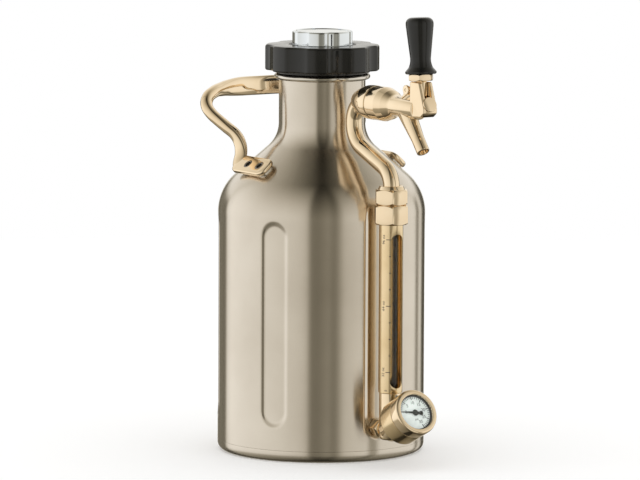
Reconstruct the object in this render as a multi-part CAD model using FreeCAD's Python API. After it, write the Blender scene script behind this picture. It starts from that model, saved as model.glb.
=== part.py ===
import FreeCAD, Part
import math
import os
from FreeCAD import Vector

# Mini keg beer dispenser: a double-walled steel vessel with a screwed regulator cap, a sight gauge and
# tap line in front, and a carry handle behind. Millimetres, +Z up, origin at the middle of the base,
# the tap towards -Y.

# ---- vessel -------------------------------------------------------------------------------------------
BODY_R = 80.5              # outside radius of the straight wall
SHELL_WALL = 1.0           # outer shell and base cover sheet
BASE_EDGE_R = 6.0          # rounding between base and wall
BASE_SEAM_Z = 9.0          # where the base cover is welded to the outer shell
BASE_RECESS = 2.5          # how far the middle of the base is raised
BASE_RING_W = 12.0         # width of the ring that the vessel stands on
SEAL_CAP_R = 9.0           # cap over the evacuation port under the base
SEAL_CAP_T = 1.2
SHOULDER_Z = 186.0         # where the shoulder starts
SHOULDER_R = 38.9          # radius of the shoulder's convex arc
SHOULDER_TURN = 49.0       # angle of the shoulder's straight flank from vertical
NECK_R = 33.6              # outside radius of the neck
NECK_FILLET_R = 24.4       # concave arc between shoulder and neck
NECK_H = 33.983            # straight part of the neck
SHOULDER_COS = math.cos(math.radians(SHOULDER_TURN))
SHOULDER_SIN = math.sin(math.radians(SHOULDER_TURN))
FLANK_OUT_R = BODY_R - SHOULDER_R * (1 - SHOULDER_COS)
FLANK_IN_R = NECK_R + NECK_FILLET_R * (1 - SHOULDER_COS)
FLANK_RISE = (FLANK_OUT_R - FLANK_IN_R) * SHOULDER_COS / SHOULDER_SIN
NECK_LOW_Z = SHOULDER_Z + (SHOULDER_R + NECK_FILLET_R) * SHOULDER_SIN + FLANK_RISE
NECK_TOP_Z = NECK_LOW_Z + NECK_H
SHOULDER_SEAM_Z = SHOULDER_Z   # weld between the body's wall and the shoulder, in both vessels
NECK_SEAM_Z = NECK_LOW_Z - 18.6   # weld between the shoulder and the neck, in both vessels
VACUUM_GAP = 4.0           # between the two walls, along the body
NECK_GAP = 2.6             # between the two walls, in the neck
VESSEL_WALL = 0.8          # inner vessel sheet
VESSEL_FLOOR_Z = 12.0      # inside face of the vessel's floor
VESSEL_EDGE_R = 22.0
FLOOR_SEAM_Z = 38.0        # weld between the inner vessel's dished floor and its wall

# ---- pressed flutes -----------------------------------------------------------------------------------
FLUTE_FLOOR_W = 17.5
FLUTE_RIM_W = 22.6
FLUTE_DEPTH = 1.8
FLUTE_LOW_Z = 27.7
FLUTE_HIGH_Z = 184.3
FLUTE_STEP = 60.0          # angle between neighbouring flutes, counted from the tap
FLUTE_COUNT = 6            # the one behind the sight gauge is longer than the rest
TAP_FLUTE_LOW_Z = 19.0
TAP_FLUTE_HIGH_Z = 205.0

# ---- mouth and cap ------------------------------------------------------------------------------------
MOUTH_R = 27.5             # bore that takes the cap's plug
SEAT_R = 23.5              # bore of the ledge that carries the gasket
SEAT_Z = NECK_TOP_Z - 13.6
SEAT_T = 3.0
BEAD_R = 37.3              # rolled bead around the mouth
BEAD_H = 4.4
CAP_GAP = 0.8              # between the bead and the cap's skirt
CAP_SKIRT_R = 37.0
CAP_SKIRT_H = 1.6
CAP_R = 44.3               # over the lobes
CAP_H = 20.0
CAP_LOBES = 8
CAP_SCALLOP_R = 24.6       # radius of each scallop between lobes
CAP_SCALLOP_DEPTH = 3.0
CAP_EDGE_R = 2.2
CAP_FOOT_R = 1.5
CAP_WALL = 5.0
CAP_TOP_T = 3.2
CAP_PHASE = 29.5           # angle of one scallop from +X
PLUG_WALL = 5.2
PLUG_FIT = 0.08            # running clearance of the plug in the mouth
DIAL_R = 23.4
DIAL_H = 12.2
DIAL_FLUTES = 6
DIAL_FLUTE_R = 14.1
DIAL_FLUTE_DEPTH = 2.0
DIAL_PHASE = 15.7
DIAL_RING_H = 1.7          # plain ring below the scallops
DIAL_EDGE_R = 1.6
DIAL_WALL = 2.4
DIAL_SINK = 1.6            # how far the dial sits below the cap's rim
DIAL_CLEAR = 0.6

# ---- regulator and cartridge --------------------------------------------------------------------------
GASKET_T = 2.0
GASKET_W = 3.0
FLANGE_T = 3.0
FLANGE_CLEAR = 0.6         # around the flange and gasket, inside the mouth
REGULATOR_CLEAR = 0.4      # around the regulator, inside the cap
BONNET_SEAM_Z = SEAT_Z + 20.0   # where the diaphragm is clamped
BONNET_CAVITY_R = 13.0
BONNET_TOP_T = 2.8
DIAPHRAGM_T = 1.2
DIAPHRAGM_R = 18.0
CHAMBER_R = 14.0
CHAMBER_DEPTH = 4.0
BACKING_R = 11.0           # plate on the diaphragm, under the spring
BACKING_T = 1.6
SPRING_R = 8.0             # mean radius of the regulator spring
SPRING_WIRE_R = 0.9
SPRING_TURNS = 4
SCREW_R = 4.0              # adjusting screw, turned by the dial
SCREW_FIT = 0.08
NUT_R = 11.5               # spring nut that the adjusting screw drives
NUT_T = 2.5
NUT_REST_DROP = 0.8        # gap from the bonnet's roof to the nut at rest
SCREW_LENGTH = 17.0
POPPET_R = 3.0
POPPET_H = 6.0
POPPET_STEM_R = 1.0
SPIGOT_R = 13.4            # lower end of the regulator, which carries the sleeve
SPIGOT_Z = SEAT_Z - 14.0
HUB_R = 19.0
HUB_Z = SEAT_Z - 1.4
SLEEVE_FIT = 0.08
SLEEVE_R = 15.0
SLEEVE_BORE_R = 11.6
SLEEVE_SOCKET_H = 9.0      # length of the sleeve's socket on the spigot
SLEEVE_FLOOR_T = 2.0
CARTRIDGE_R = 10.95        # 16 g gas cartridge
CARTRIDGE_H = 88.5
CARTRIDGE_NECK_R = 4.6
CARTRIDGE_NECK_H = 8.0
CARTRIDGE_WALL = 1.4
CARTRIDGE_TOP_Z = SPIGOT_Z + 4.0
LANCE_R = 1.4
LANCE_FLANGE_R = 4.2
LANCE_FLANGE_T = 2.0
LANCE_GAP = 0.3            # tip of the lance above the cartridge's seal
RELIEF_R = 2.6
RELIEF_OFFSET = 15.8       # relief valve from the axis
RELIEF_H = 5.0

# ---- outlet and manifold ------------------------------------------------------------------------------
LINE_S = BODY_R + 17.1     # sight gauge axis, in front of the vessel's axis
OUTLET_Z = 27.0
BOSS_R = 5.8
BOSS_BORE_R = 3.8
BOSS_IN = BODY_R - 9.5     # inner end of the welded outlet boss
BOSS_OUT = BODY_R + 3.5
OUTLET_NUT_ACROSS = 15.0   # across corners
OUTLET_NUT_GAP = 0.6       # from the flute's floor
OUTLET_SEAL_T = 1.0
FLANGE_SPIGOT_R = 4.8
FLANGE_SPIGOT_T = 1.6
FLOW_R = 3.0
MANIFOLD_R = 8.5
MANIFOLD_LOW_Z = 19.5
MANIFOLD_HIGH_Z = 56.2
MANIFOLD_EDGE = 3.0
BRANCH_R = 9.6
BRANCH_END = 14.6

# ---- sight gauge --------------------------------------------------------------------------------------
GUARD_R = 9.25
GUARD_WALL = 1.6
GUARD_SPIGOT_H = 3.2
SLOT_LOW_Z = 60.0
SLOT_HIGH_Z = 178.5
SLOT_HALF_ANGLE = 36.0
GLASS_R = 6.0
GLASS_WALL = 1.6
GLASS_SOCKET = 8.0         # how deep each end of the glass sits in its socket
GLASS_SEAT = 3.7           # how far the glass goes down into the manifold
GLASS_FIT = 0.1
SEAL_WIRE_R = 0.9
GUARD_SCREW_R = 1.3
GUARD_SCREW_DROP = 2.3     # below the guard's lower end
COUPLING_LOW_Z = 185.7
COUPLING_HIGH_Z = 200.6
COUPLING_ACROSS = 28.4
GUARD_IN_COUPLING = 6.0
UNION_SPIGOT_R = 9.5
UNION_SPIGOT_H = 7.0
RISER_FLANGE_T = 1.6
UNION_NUT_LOW_Z = 201.0
UNION_NUT_HIGH_Z = 212.6
UNION_NUT_ACROSS = 27.5
UNION_COLLAR_R = 10.2
UNION_COLLAR_H = 2.6
HEX_CHAMFER = 1.6

# ---- riser and tap ------------------------------------------------------------------------------------
RISER_R = 6.35
RISER_WALL = 1.2
RISER_LOW_R = 15.5         # bend above the union nut
RISER_HIGH_R = 20.0        # bend beside the neck
RISER_SLOPE = 22.0         # slope of the run between the bends
RISER_STRAIGHT = 0.844     # between the upper bend and the elbow
RISER_TOP_S = NECK_R + RISER_R + 5.15   # beside the neck
TAP_Z = NECK_TOP_Z - 12.6  # axis of the tap's barrel
ELBOW_R = 17.0
ELBOW_BORE_R = 4.6
FLARE_START_S = RISER_TOP_S + 5.9
FLARE_END_S = RISER_TOP_S + 23.5
FLARE_R = 13.2
SHANK_END_S = RISER_TOP_S + 32.4
SHANK_BORE_R = 8.0
SHANK_SOCKET = 9.0
CREASE = 0.4               # visible seam between elbow and tap
BELL_R = 13.1
BELL_END_S = RISER_TOP_S + 48.9
THROAT_S = RISER_TOP_S + 58.9
BARREL_R = 8.2
BARREL_BORE_R = 6.0
SEAT_BORE_R = 4.0
SEAT_S = RISER_TOP_S + 66.9
SEAT_LEN = 2.0
OUTLET_CHAMBER_R = 5.0
OUTLET_CHAMBER_END_S = RISER_TOP_S + 79.9
ROD_R = 1.9
ROD_FIT = 0.06
COLUMN_W = 12.8
COLUMN_REAR_S = RISER_TOP_S + 85.7
COLUMN_TOP_Z = TAP_Z + 21.0
COLUMN_TOP_FRONT_S = RISER_TOP_S + 97.7
COLUMN_NOSE_S = RISER_TOP_S + 104.9   # foremost point of the slanted front
COLUMN_NOSE_Z = TAP_Z + 1.4
COLUMN_CHIN_Z = TAP_Z - 2.4
COLUMN_LOW_Z = TAP_Z - 5.4
COLUMN_CORNER_R = 1.6
COLUMN_EDGE_R = 1.1
CAVITY_W = 6.5             # slot for the lever, open above and in front
CAVITY_FRONT_S = RISER_TOP_S + 98.3
CAVITY_REAR_WALL = 1.6
CAVITY_LOW_Z = TAP_Z - 3.4
SLOT_SILL_Z = TAP_Z + 8.2  # the slot is open to the front above this
PLUG_R = 5.8
PLUG_T = 1.0
PLUG_STEM_R = 2.8
PLUG_STEM_L = 4.0
PLUG_Z = TAP_Z + 4.4
SPOUT_FROM = (RISER_TOP_S + 71.2, TAP_Z - 2.0)
SPOUT_TO = (RISER_TOP_S + 95.8, TAP_Z - 32.3)
SPOUT_ROOT_R = 7.2
SPOUT_TIP_R = 5.0
SPOUT_TIP_LEN = 12.0
SPOUT_BORE_R = 3.6
PIVOT_S = RISER_TOP_S + 93.0
PIVOT_Z = TAP_Z + 7.0
PIN_R = 1.5
PIN_FIT = 0.05
PIN_WALL = 1.4             # metal left over the pin's blind end
LEVER_LEAN = 3.4           # the lever leans back by this angle when the tap is shut
TONGUE_T = 5.8
TONGUE_W = 7.0
FINGER_R = 1.0
BALL_R = 1.9
BALL_CLEAR = 0.3
FERRULE_ACROSS = 20.2
FERRULE_TURN = -10.4
FERRULE_RISE = 14.7        # from the pivot to the ferrule's underside
FERRULE_H = 5.2
LEVER_STUD_R = 3.0
LEVER_STUD_H = 20.0
GRIP_H = 42.9
GRIP_FLARE_R = 11.9
GRIP_FLARE_H = 1.8
GRIP_WAIST_R = 7.6
GRIP_WAIST_H = 9.6
GRIP_HEAD_R = 10.6
GRIP_HEAD_H = 36.6
GRIP_HEAD_EDGE = 3.6
LOCK_S = RISER_TOP_S + 81.3
LOCK_Z = TAP_Z + 14.1
LOCK_EAR_W = 9.8
LOCK_EAR_R = 3.0
LOCK_WEB_S = RISER_TOP_S + 71.7   # where the ear's web leaves the barrel
LOCK_KNOB_R = 3.8
LOCK_KNOB_T = 1.9
LOCK_SHAFT_R = 1.6
LOCK_FIT = 0.05
LOCK_GAP = 0.3

# ---- pressure gauge, along an axis that leaves the manifold -------------------------------------------
GAUGE_TILT = 27.0          # above horizontal
GAUGE_BACK = 14.9          # distance of the case's back from the sight gauge axis
GAUGE_SEAM = 31.5
GAUGE_FACE = 41.4
GAUGE_CASE_R = 17.7
GAUGE_CASE_CHAMFER = 1.4
GAUGE_BEZEL_R = 18.0
GAUGE_BEZEL_EDGE = 1.8
GAUGE_WINDOW_R = 14.0
GAUGE_NECK_R = 16.2
GAUGE_WALL = 2.0
CASE_CLEAR = 0.3           # around the case where it passes the manifold
GAUGE_STEM_R = 5.0
GAUGE_STEM_START = 9.5
LENS_T = 1.0
LIP_T = 1.2
DIAL_PLATE_T = 0.6
DIAL_PLATE_FACE = 37.5
DIAL_PLATE_LEDGE = 1.0
NEEDLE_T = 0.4
NEEDLE_LIFT = 0.5
NEEDLE_LEN = 10.8
NEEDLE_TAIL = 5.2
NEEDLE_W = 1.8
NEEDLE_HUB_R = 2.5
NEEDLE_REST = 172.0        # needle's angle at rest, anticlockwise from the gauge's right-hand side
SPINDLE_R = 0.7
SPINDLE_FIT = 0.06
MOVEMENT_W = 11.0
MOVEMENT_H = 7.0
MOVEMENT_T = 5.0
BOURDON_R = 10.2
BOURDON_TUBE_R = 1.5
BOURDON_SWEEP = 230.0

# ---- carry handle -------------------------------------------------------------------------------------
FOOT_R = 59.4              # radius on the shoulder under each foot
PAD_T = 1.2
PAD_L = 33.0
PAD_W = 13.0
PLATE_T = 3.7
PLATE_W = 17.0
PLATE_FRONT_Y = -18.6
PLATE_REAR_Y = 26.0
SCREW_Y = 0.4
SCREW_PITCH = 15.6
HANDLE_SCREW_R = 2.0
HANDLE_HEAD_R = 3.8
HANDLE_HEAD_T = 2.0
HANDLE_SOCKET_R = 1.7
HANDLE_SCREW_L = 5.0
BACK_Z = TAP_Z             # height of the grip behind the neck
BACK_Y = 92.0              # its rearmost point
BACK_TALL = 15.0
BACK_THICK = 6.6
LEG_TALL = 9.4             # the strap is nearly round where it rises from the feet
LEG_THICK = 9.0
STRAP_STATIONS = 18        # sections along each half of the strap
# Points of each leg: across, behind the axis, and above the grip at the back.
LEG_POINTS = [(-56.4, 28.0, -44.0), (-55.7, 30.8, -37.7), (-57.3, 34.8, -31.4), (-61.6, 40.2, -26.0),
              (-65.4, 46.0, -21.0), (-68.4, 52.0, -16.1), (-69.4, 57.6, -10.5), (-65.4, 63.0, -4.9),
              (-56.8, 68.6, -1.2), (-45.2, 75.6, 0.2), (-29.0, 84.0, 0.5), (-12.0, 90.4, 0.2)]

X_AXIS = Vector(1, 0, 0)
Z_AXIS = Vector(0, 0, 1)
FORWARD = Vector(0, -1, 0)
ORIGIN = Vector(0, 0, 0)


# ---- shared shapes ------------------------------------------------------------------------------------
class Outline:
    """A closed outline of (radius, height) points, turned around the Z axis."""

    def __init__(self, radius, height):
        self.start = Vector(radius, 0, height)
        self.end = self.start
        self.edges = []

    def to(self, radius, height):
        point = Vector(radius, 0, height)
        self.edges.append(Part.makeLine(self.end, point))
        self.end = point
        return self

    def arc(self, middle, end):
        """An arc through a middle point to an end point, each (radius, height)."""
        via = Vector(middle[0], 0, middle[1])
        point = Vector(end[0], 0, end[1])
        self.edges.append(Part.Arc(self.end, via, point).toShape())
        self.end = point
        return self

    def turned(self):
        if self.end.distanceToPoint(self.start) > 1e-6:
            self.edges.append(Part.makeLine(self.end, self.start))
        face = Part.Face(Part.Wire(self.edges))
        return face.revolve(ORIGIN, Z_AXIS, 360)


def on_line(s, z):
    """The point at distance s in front of the vessel's axis, in the plane of the tap."""
    return Vector(0, -s, z)


def aimed(shape, base, direction):
    """A shape built up the Z axis, moved so that Z points along direction from base."""
    turn = FreeCAD.Rotation(Z_AXIS, direction)
    moved = shape.copy()
    moved.Placement = FreeCAD.Placement(base, turn)
    return moved


def rod(radius, base, direction, length):
    return Part.makeCylinder(radius, length, base, direction)


def tube(outer, inner, base, direction, length):
    return rod(outer, base, direction, length).cut(rod(inner, base, direction, length))


def hexagon(across, low, high, chamfer):
    """A hexagonal bar up the Z axis whose corners are turned off at both ends."""
    corners = [Vector(across / 2 * math.cos(math.radians(60 * k)), across / 2 * math.sin(math.radians(60 * k)), low)
               for k in range(6)]
    bar = Part.Face(Part.makePolygon(corners + corners[:1])).extrude(Vector(0, 0, high - low))
    flat = across / 2 * math.cos(math.radians(30))
    turned = Outline(0, low).to(flat - 0.2, low).to(across / 2, low + chamfer)
    turned.to(across / 2, high - chamfer).to(flat - 0.2, high).to(0, high)
    return bar.common(turned.turned())


def box(low, high):
    size = high - low
    return Part.makeBox(size.x, size.y, size.z, low)


def at_angle(angle):
    return math.cos(math.radians(angle)), math.sin(math.radians(angle))


# ---- vessel -------------------------------------------------------------------------------------------
def bottle(inset, neck_r, low, high, edge_r):
    """The solid inside the outer wall moved in by inset, with its own neck radius, from low to high."""
    cos_t, sin_t = at_angle(SHOULDER_TURN)
    body = BODY_R - inset
    arc_r = SHOULDER_R - inset
    centre = body - arc_r
    fillet_r = NECK_FILLET_R + inset
    flank_low = (centre + arc_r * cos_t, SHOULDER_Z + arc_r * sin_t)
    flank_high_r = neck_r + fillet_r * (1 - cos_t)
    flank_high = (flank_high_r, flank_low[1] + (flank_low[0] - flank_high_r) * cos_t / sin_t)
    fillet_z = flank_high[1] + fillet_r * sin_t
    cos_h, sin_h = at_angle(SHOULDER_TURN / 2)
    cos_e, sin_e = at_angle(45)
    outline = Outline(0, low).to(body - edge_r, low)
    outline.arc((body - edge_r + edge_r * sin_e, low + edge_r - edge_r * cos_e), (body, low + edge_r))
    outline.to(body, SHOULDER_Z)
    outline.arc((centre + arc_r * cos_h, SHOULDER_Z + arc_r * sin_h), flank_low)
    outline.to(*flank_high)
    outline.arc((neck_r + fillet_r * (1 - cos_h), fillet_z - fillet_r * sin_h), (neck_r, fillet_z))
    outline.to(neck_r, high).to(0, high)
    return outline.turned()


def stadium(width, low, high, y):
    """A stadium-shaped wire facing -Y, its straight sides vertical."""
    half = width / 2
    left_low = Vector(-half, y, low + half)
    left_high = Vector(-half, y, high - half)
    right_low = Vector(half, y, low + half)
    right_high = Vector(half, y, high - half)
    return Part.Wire([Part.makeLine(left_low, left_high),
                      Part.Arc(left_high, Vector(0, y, high), right_high).toShape(),
                      Part.makeLine(right_high, right_low),
                      Part.Arc(right_low, Vector(0, y, low), left_low).toShape()])


def flute_cutter(low, high, grow):
    """One flute's tool in front of the vessel, its floor concentric with the wall."""
    floor_r = BODY_R - FLUTE_DEPTH - grow
    rim_y = math.sqrt(BODY_R ** 2 - (FLUTE_RIM_W / 2) ** 2)
    floor_y = math.sqrt((BODY_R - FLUTE_DEPTH) ** 2 - (FLUTE_FLOOR_W / 2) ** 2)
    slope = (FLUTE_RIM_W - FLUTE_FLOOR_W) / 2 / (rim_y - floor_y)
    wires = []
    for y in (BODY_R + 4, floor_r - 4):
        spread = slope * (y - rim_y) + grow
        wires.append(stadium(FLUTE_RIM_W + 2 * spread, low - spread, high + spread, -y))
    return Part.makeLoft(wires, True, True).cut(rod(floor_r, ORIGIN, Z_AXIS, TAP_FLUTE_HIGH_Z + BODY_R))


def all_flutes(grow):
    tools = [flute_cutter(TAP_FLUTE_LOW_Z, TAP_FLUTE_HIGH_Z, grow)]
    for k in range(1, FLUTE_COUNT):
        tool = flute_cutter(FLUTE_LOW_Z, FLUTE_HIGH_Z, grow)
        tool.rotate(ORIGIN, Z_AXIS, FLUTE_STEP * k)
        tools.append(tool)
    return tools


def outlet_bore(radius):
    spare = VACUUM_GAP
    return rod(radius, on_line(BOSS_IN - spare, OUTLET_Z), FORWARD, BOSS_OUT - BOSS_IN + 2 * spare)


def outer_sheet():
    """The whole outer wall in one, from the base seam to the mouth."""
    outside = bottle(0, NECK_R, 0, NECK_TOP_Z, BASE_EDGE_R).cut(all_flutes(0))
    inside = bottle(SHELL_WALL, NECK_R - SHELL_WALL, SHELL_WALL, NECK_TOP_Z + 1, BASE_EDGE_R - SHELL_WALL)
    inside = inside.cut(all_flutes(SHELL_WALL))
    below = rod(2 * BODY_R, Vector(0, 0, -1), Z_AXIS, BASE_SEAM_Z + 1)
    return outside.cut([inside, below, outlet_bore(BOSS_R)])


def between(shape, low, high):
    """The part of a shape from one height to another."""
    return shape.common(rod(2 * BODY_R, Vector(0, 0, low), Z_AXIS, high - low))


def outer_shell():
    return between(outer_sheet(), 0, SHOULDER_SEAM_Z)


def shoulder_shell():
    return between(outer_sheet(), SHOULDER_SEAM_Z, NECK_SEAM_Z)


def neck_shell():
    return between(outer_sheet(), NECK_SEAM_Z, NECK_TOP_Z)


def base_cover():
    """The pressed bottom, whose rim continues the wall and whose middle is raised."""
    edge = BASE_EDGE_R
    wall = SHELL_WALL
    ring = BODY_R - edge - BASE_RING_W
    cos_e, sin_e = at_angle(45)
    inner_edge = edge - wall
    sheet = Outline(0, BASE_RECESS).to(ring - BASE_RECESS, BASE_RECESS).to(ring, 0).to(BODY_R - edge, 0)
    sheet.arc((BODY_R - edge + edge * sin_e, edge - edge * cos_e), (BODY_R, edge))
    sheet.to(BODY_R, BASE_SEAM_Z).to(BODY_R - wall, BASE_SEAM_Z).to(BODY_R - wall, edge)
    sheet.arc((BODY_R - edge + inner_edge * sin_e, edge - inner_edge * cos_e), (BODY_R - edge, wall))
    sheet.to(ring + wall / 2, wall).to(ring + wall / 2 - BASE_RECESS, BASE_RECESS + wall).to(0, BASE_RECESS + wall)
    return sheet.turned()


def seal_cap():
    low = BASE_RECESS - SEAL_CAP_T
    chamfer = SEAL_CAP_T / 2
    return (Outline(0, low).to(SEAL_CAP_R - chamfer, low).to(SEAL_CAP_R, low + chamfer)
            .to(SEAL_CAP_R, BASE_RECESS).to(0, BASE_RECESS).turned())


def inner_sheet():
    """The whole inner wall in one, from the floor to the mouth."""
    inset = SHELL_WALL + VACUUM_GAP
    neck = NECK_R - SHELL_WALL - NECK_GAP
    outside = bottle(inset, neck, VESSEL_FLOOR_Z - VESSEL_WALL, NECK_TOP_Z, VESSEL_EDGE_R)
    inside = bottle(inset + VESSEL_WALL, neck - VESSEL_WALL, VESSEL_FLOOR_Z, NECK_TOP_Z + 1,
                    VESSEL_EDGE_R - VESSEL_WALL)
    return outside.cut([inside, outlet_bore(BOSS_R)])


def inner_floor():
    return between(inner_sheet(), 0, FLOOR_SEAM_Z)


def inner_vessel():
    return between(inner_sheet(), FLOOR_SEAM_Z, SHOULDER_SEAM_Z)


def inner_shoulder():
    return between(inner_sheet(), SHOULDER_SEAM_Z, NECK_SEAM_Z)


def inner_neck():
    return between(inner_sheet(), NECK_SEAM_Z, NECK_TOP_Z)


def mouth_ring():
    """The turned ring that joins both walls, with the rolled bead, the plug's bore and the gasket's ledge."""
    bead = BEAD_H / 2
    top = NECK_TOP_Z + BEAD_H
    fit = NECK_R - SHELL_WALL - NECK_GAP - VESSEL_WALL
    ring = Outline(MOUTH_R, top).to(BEAD_R - bead, top)
    ring.arc((BEAD_R, NECK_TOP_Z + bead), (BEAD_R - bead, NECK_TOP_Z))
    ring.to(fit, NECK_TOP_Z).to(fit, SEAT_Z - SEAT_T).to(SEAT_R, SEAT_Z - SEAT_T)
    ring.to(SEAT_R, SEAT_Z).to(MOUTH_R, SEAT_Z)
    return ring.turned()


def outlet_boss():
    return tube(BOSS_R, BOSS_BORE_R, on_line(BOSS_IN, OUTLET_Z), FORWARD, BOSS_OUT - BOSS_IN)


# ---- cap ----------------------------------------------------------------------------------------------
CAP_LOW_Z = NECK_TOP_Z + BEAD_H + CAP_GAP + CAP_SKIRT_H
CAP_HIGH_Z = CAP_LOW_Z + CAP_H
DIAL_LOW_Z = CAP_HIGH_Z - DIAL_SINK
FLANGE_LOW_Z = SEAT_Z + GASKET_T
FLANGE_HIGH_Z = FLANGE_LOW_Z + FLANGE_T
PLUG_OUT_R = MOUTH_R - PLUG_FIT
PLUG_IN_R = PLUG_OUT_R - PLUG_WALL
REGULATOR_R = PLUG_IN_R - REGULATOR_CLEAR
BONNET_TOP_Z = DIAL_LOW_Z - DIAL_CLEAR
ROOF_Z = BONNET_TOP_Z - BONNET_TOP_T
NUT_Z = ROOF_Z - NUT_REST_DROP - NUT_T
BACKING_Z = BONNET_SEAM_Z + DIAPHRAGM_T


def scalloped(outline, outer_r, count, scallop_r, depth, phase, low, high):
    """A turned blank with round scallops milled into its rim."""
    centre_r = outer_r - depth + scallop_r
    tools = []
    for k in range(count):
        cos_k, sin_k = at_angle(phase + 360 * k / count)
        tools.append(rod(scallop_r, Vector(centre_r * cos_k, centre_r * sin_k, low - 1), Z_AXIS, high - low + 2))
    return outline.turned().cut(tools)


def cap_shell():
    """The lobed screw cap: a hollow grip, a skirt over the bead and a plug that goes down into the mouth."""
    edge = CAP_EDGE_R
    cos_e, sin_e = at_angle(45)
    rim = CAP_R - edge
    recess_r = DIAL_R + 2 * DIAL_CLEAR
    foot = CAP_FOOT_R
    grip = Outline(PLUG_IN_R, CAP_LOW_Z).to(CAP_R - foot, CAP_LOW_Z)
    grip.arc((CAP_R - foot + foot * cos_e, CAP_LOW_Z + foot - foot * sin_e), (CAP_R, CAP_LOW_Z + foot))
    grip.to(CAP_R, CAP_HIGH_Z - edge)
    grip.arc((rim + edge * cos_e, CAP_HIGH_Z - edge + edge * sin_e), (rim, CAP_HIGH_Z))
    grip.to(recess_r + DIAL_SINK, CAP_HIGH_Z).to(recess_r, DIAL_LOW_Z - DIAL_CLEAR)
    grip.to(PLUG_IN_R, DIAL_LOW_Z - DIAL_CLEAR)
    body = scalloped(grip, CAP_R, CAP_LOBES, CAP_SCALLOP_R, CAP_SCALLOP_DEPTH, CAP_PHASE, CAP_LOW_Z, CAP_HIGH_Z)
    hollow = tube(CAP_R - CAP_WALL, PLUG_OUT_R, Vector(0, 0, CAP_LOW_Z - 1), Z_AXIS,
                  CAP_H - CAP_TOP_T - DIAL_SINK + 1)
    skirt = tube(CAP_SKIRT_R, CAP_SKIRT_R - CAP_SKIRT_H, Vector(0, 0, CAP_LOW_Z - CAP_SKIRT_H), Z_AXIS,
                 CAP_H - CAP_TOP_T)
    plug_low = FLANGE_HIGH_Z + PLUG_FIT
    plug = tube(PLUG_OUT_R, PLUG_IN_R, Vector(0, 0, plug_low), Z_AXIS, CAP_LOW_Z + CAP_TOP_T - plug_low)
    return body.cut(hollow).fuse([skirt, plug]).removeSplitter()


def pressure_dial():
    """The fluted dial on top of the cap, hollow underneath, with a hub for the adjusting screw."""
    top = DIAL_LOW_Z + DIAL_H
    edge = DIAL_EDGE_R
    cos_e, sin_e = at_angle(45)
    roof = top - DIAL_WALL
    bore = DIAL_R - 2 * DIAL_WALL
    blank = Outline(0, roof).to(bore, roof).to(bore, DIAL_LOW_Z).to(DIAL_R, DIAL_LOW_Z).to(DIAL_R, top - edge)
    blank.arc((DIAL_R - edge + edge * cos_e, top - edge + edge * sin_e), (DIAL_R - edge, top))
    blank.to(DIAL_R - 2 * edge, top).to(DIAL_R - 2 * edge - 0.6, top - 0.6).to(0, top - 0.6)
    dial = scalloped(blank, DIAL_R, DIAL_FLUTES, DIAL_FLUTE_R, DIAL_FLUTE_DEPTH, DIAL_PHASE,
                     DIAL_LOW_Z + DIAL_RING_H + 1, top)
    hub = tube(2 * SCREW_R, SCREW_R, Vector(0, 0, DIAL_LOW_Z + DIAL_CLEAR), Z_AXIS,
               DIAL_H - DIAL_WALL - DIAL_CLEAR)
    return dial.fuse(hub).removeSplitter()


def adjusting_screw():
    top = DIAL_LOW_Z + DIAL_H - DIAL_WALL
    return rod(SCREW_R, Vector(0, 0, top - SCREW_LENGTH), Z_AXIS, SCREW_LENGTH)


# ---- regulator ----------------------------------------------------------------------------------------
def gasket():
    outer = MOUTH_R - FLANGE_CLEAR
    return tube(outer, outer - GASKET_W, Vector(0, 0, SEAT_Z), Z_AXIS, GASKET_T)


def relief_place():
    cos_r, sin_r = at_angle(CAP_PHASE)
    return Vector(RELIEF_OFFSET * cos_r, RELIEF_OFFSET * sin_r, HUB_Z)


def regulator_body():
    """The pressure regulator's lower half: spigot, hub, flange and valve chamber in one turned piece."""
    flange_r = MOUTH_R - FLANGE_CLEAR
    body = Outline(0, SPIGOT_Z).to(SPIGOT_R, SPIGOT_Z).to(SPIGOT_R, HUB_Z).to(HUB_R, HUB_Z)
    body.to(HUB_R, FLANGE_LOW_Z).to(flange_r, FLANGE_LOW_Z).to(flange_r, FLANGE_HIGH_Z)
    body.to(REGULATOR_R, FLANGE_HIGH_Z).to(REGULATOR_R, BONNET_SEAM_Z).to(CHAMBER_R, BONNET_SEAM_Z)
    body.to(CHAMBER_R, BONNET_SEAM_Z - CHAMBER_DEPTH).to(0, BONNET_SEAM_Z - CHAMBER_DEPTH)
    neck_socket = rod(CARTRIDGE_NECK_R + SLEEVE_FIT, Vector(0, 0, SPIGOT_Z - 1), Z_AXIS,
                      CARTRIDGE_TOP_Z - SPIGOT_Z + 1 + LANCE_GAP)
    lance_seat = rod(LANCE_FLANGE_R, Vector(0, 0, CARTRIDGE_TOP_Z + LANCE_GAP), Z_AXIS, 2 * LANCE_FLANGE_T)
    passage = rod(LANCE_R, Vector(0, 0, CARTRIDGE_TOP_Z), Z_AXIS, BONNET_SEAM_Z - CARTRIDGE_TOP_Z)
    chamber = rod(POPPET_R + REGULATOR_CLEAR, Vector(0, 0, BONNET_SEAM_Z - CHAMBER_DEPTH - POPPET_H - 1), Z_AXIS,
                  POPPET_H + 2)
    relief = rod(RELIEF_R, relief_place(), Z_AXIS, RELIEF_H)
    return body.turned().cut([neck_socket, lance_seat, passage, chamber, relief])


def piercing_lance():
    base = CARTRIDGE_TOP_Z + LANCE_GAP + LANCE_FLANGE_T
    flange = rod(LANCE_FLANGE_R, Vector(0, 0, base), Z_AXIS, LANCE_FLANGE_T)
    tip = Part.makeCone(LANCE_R / 4, LANCE_R, LANCE_FLANGE_T, Vector(0, 0, CARTRIDGE_TOP_Z + LANCE_GAP), Z_AXIS)
    return flange.fuse(tip)


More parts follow.
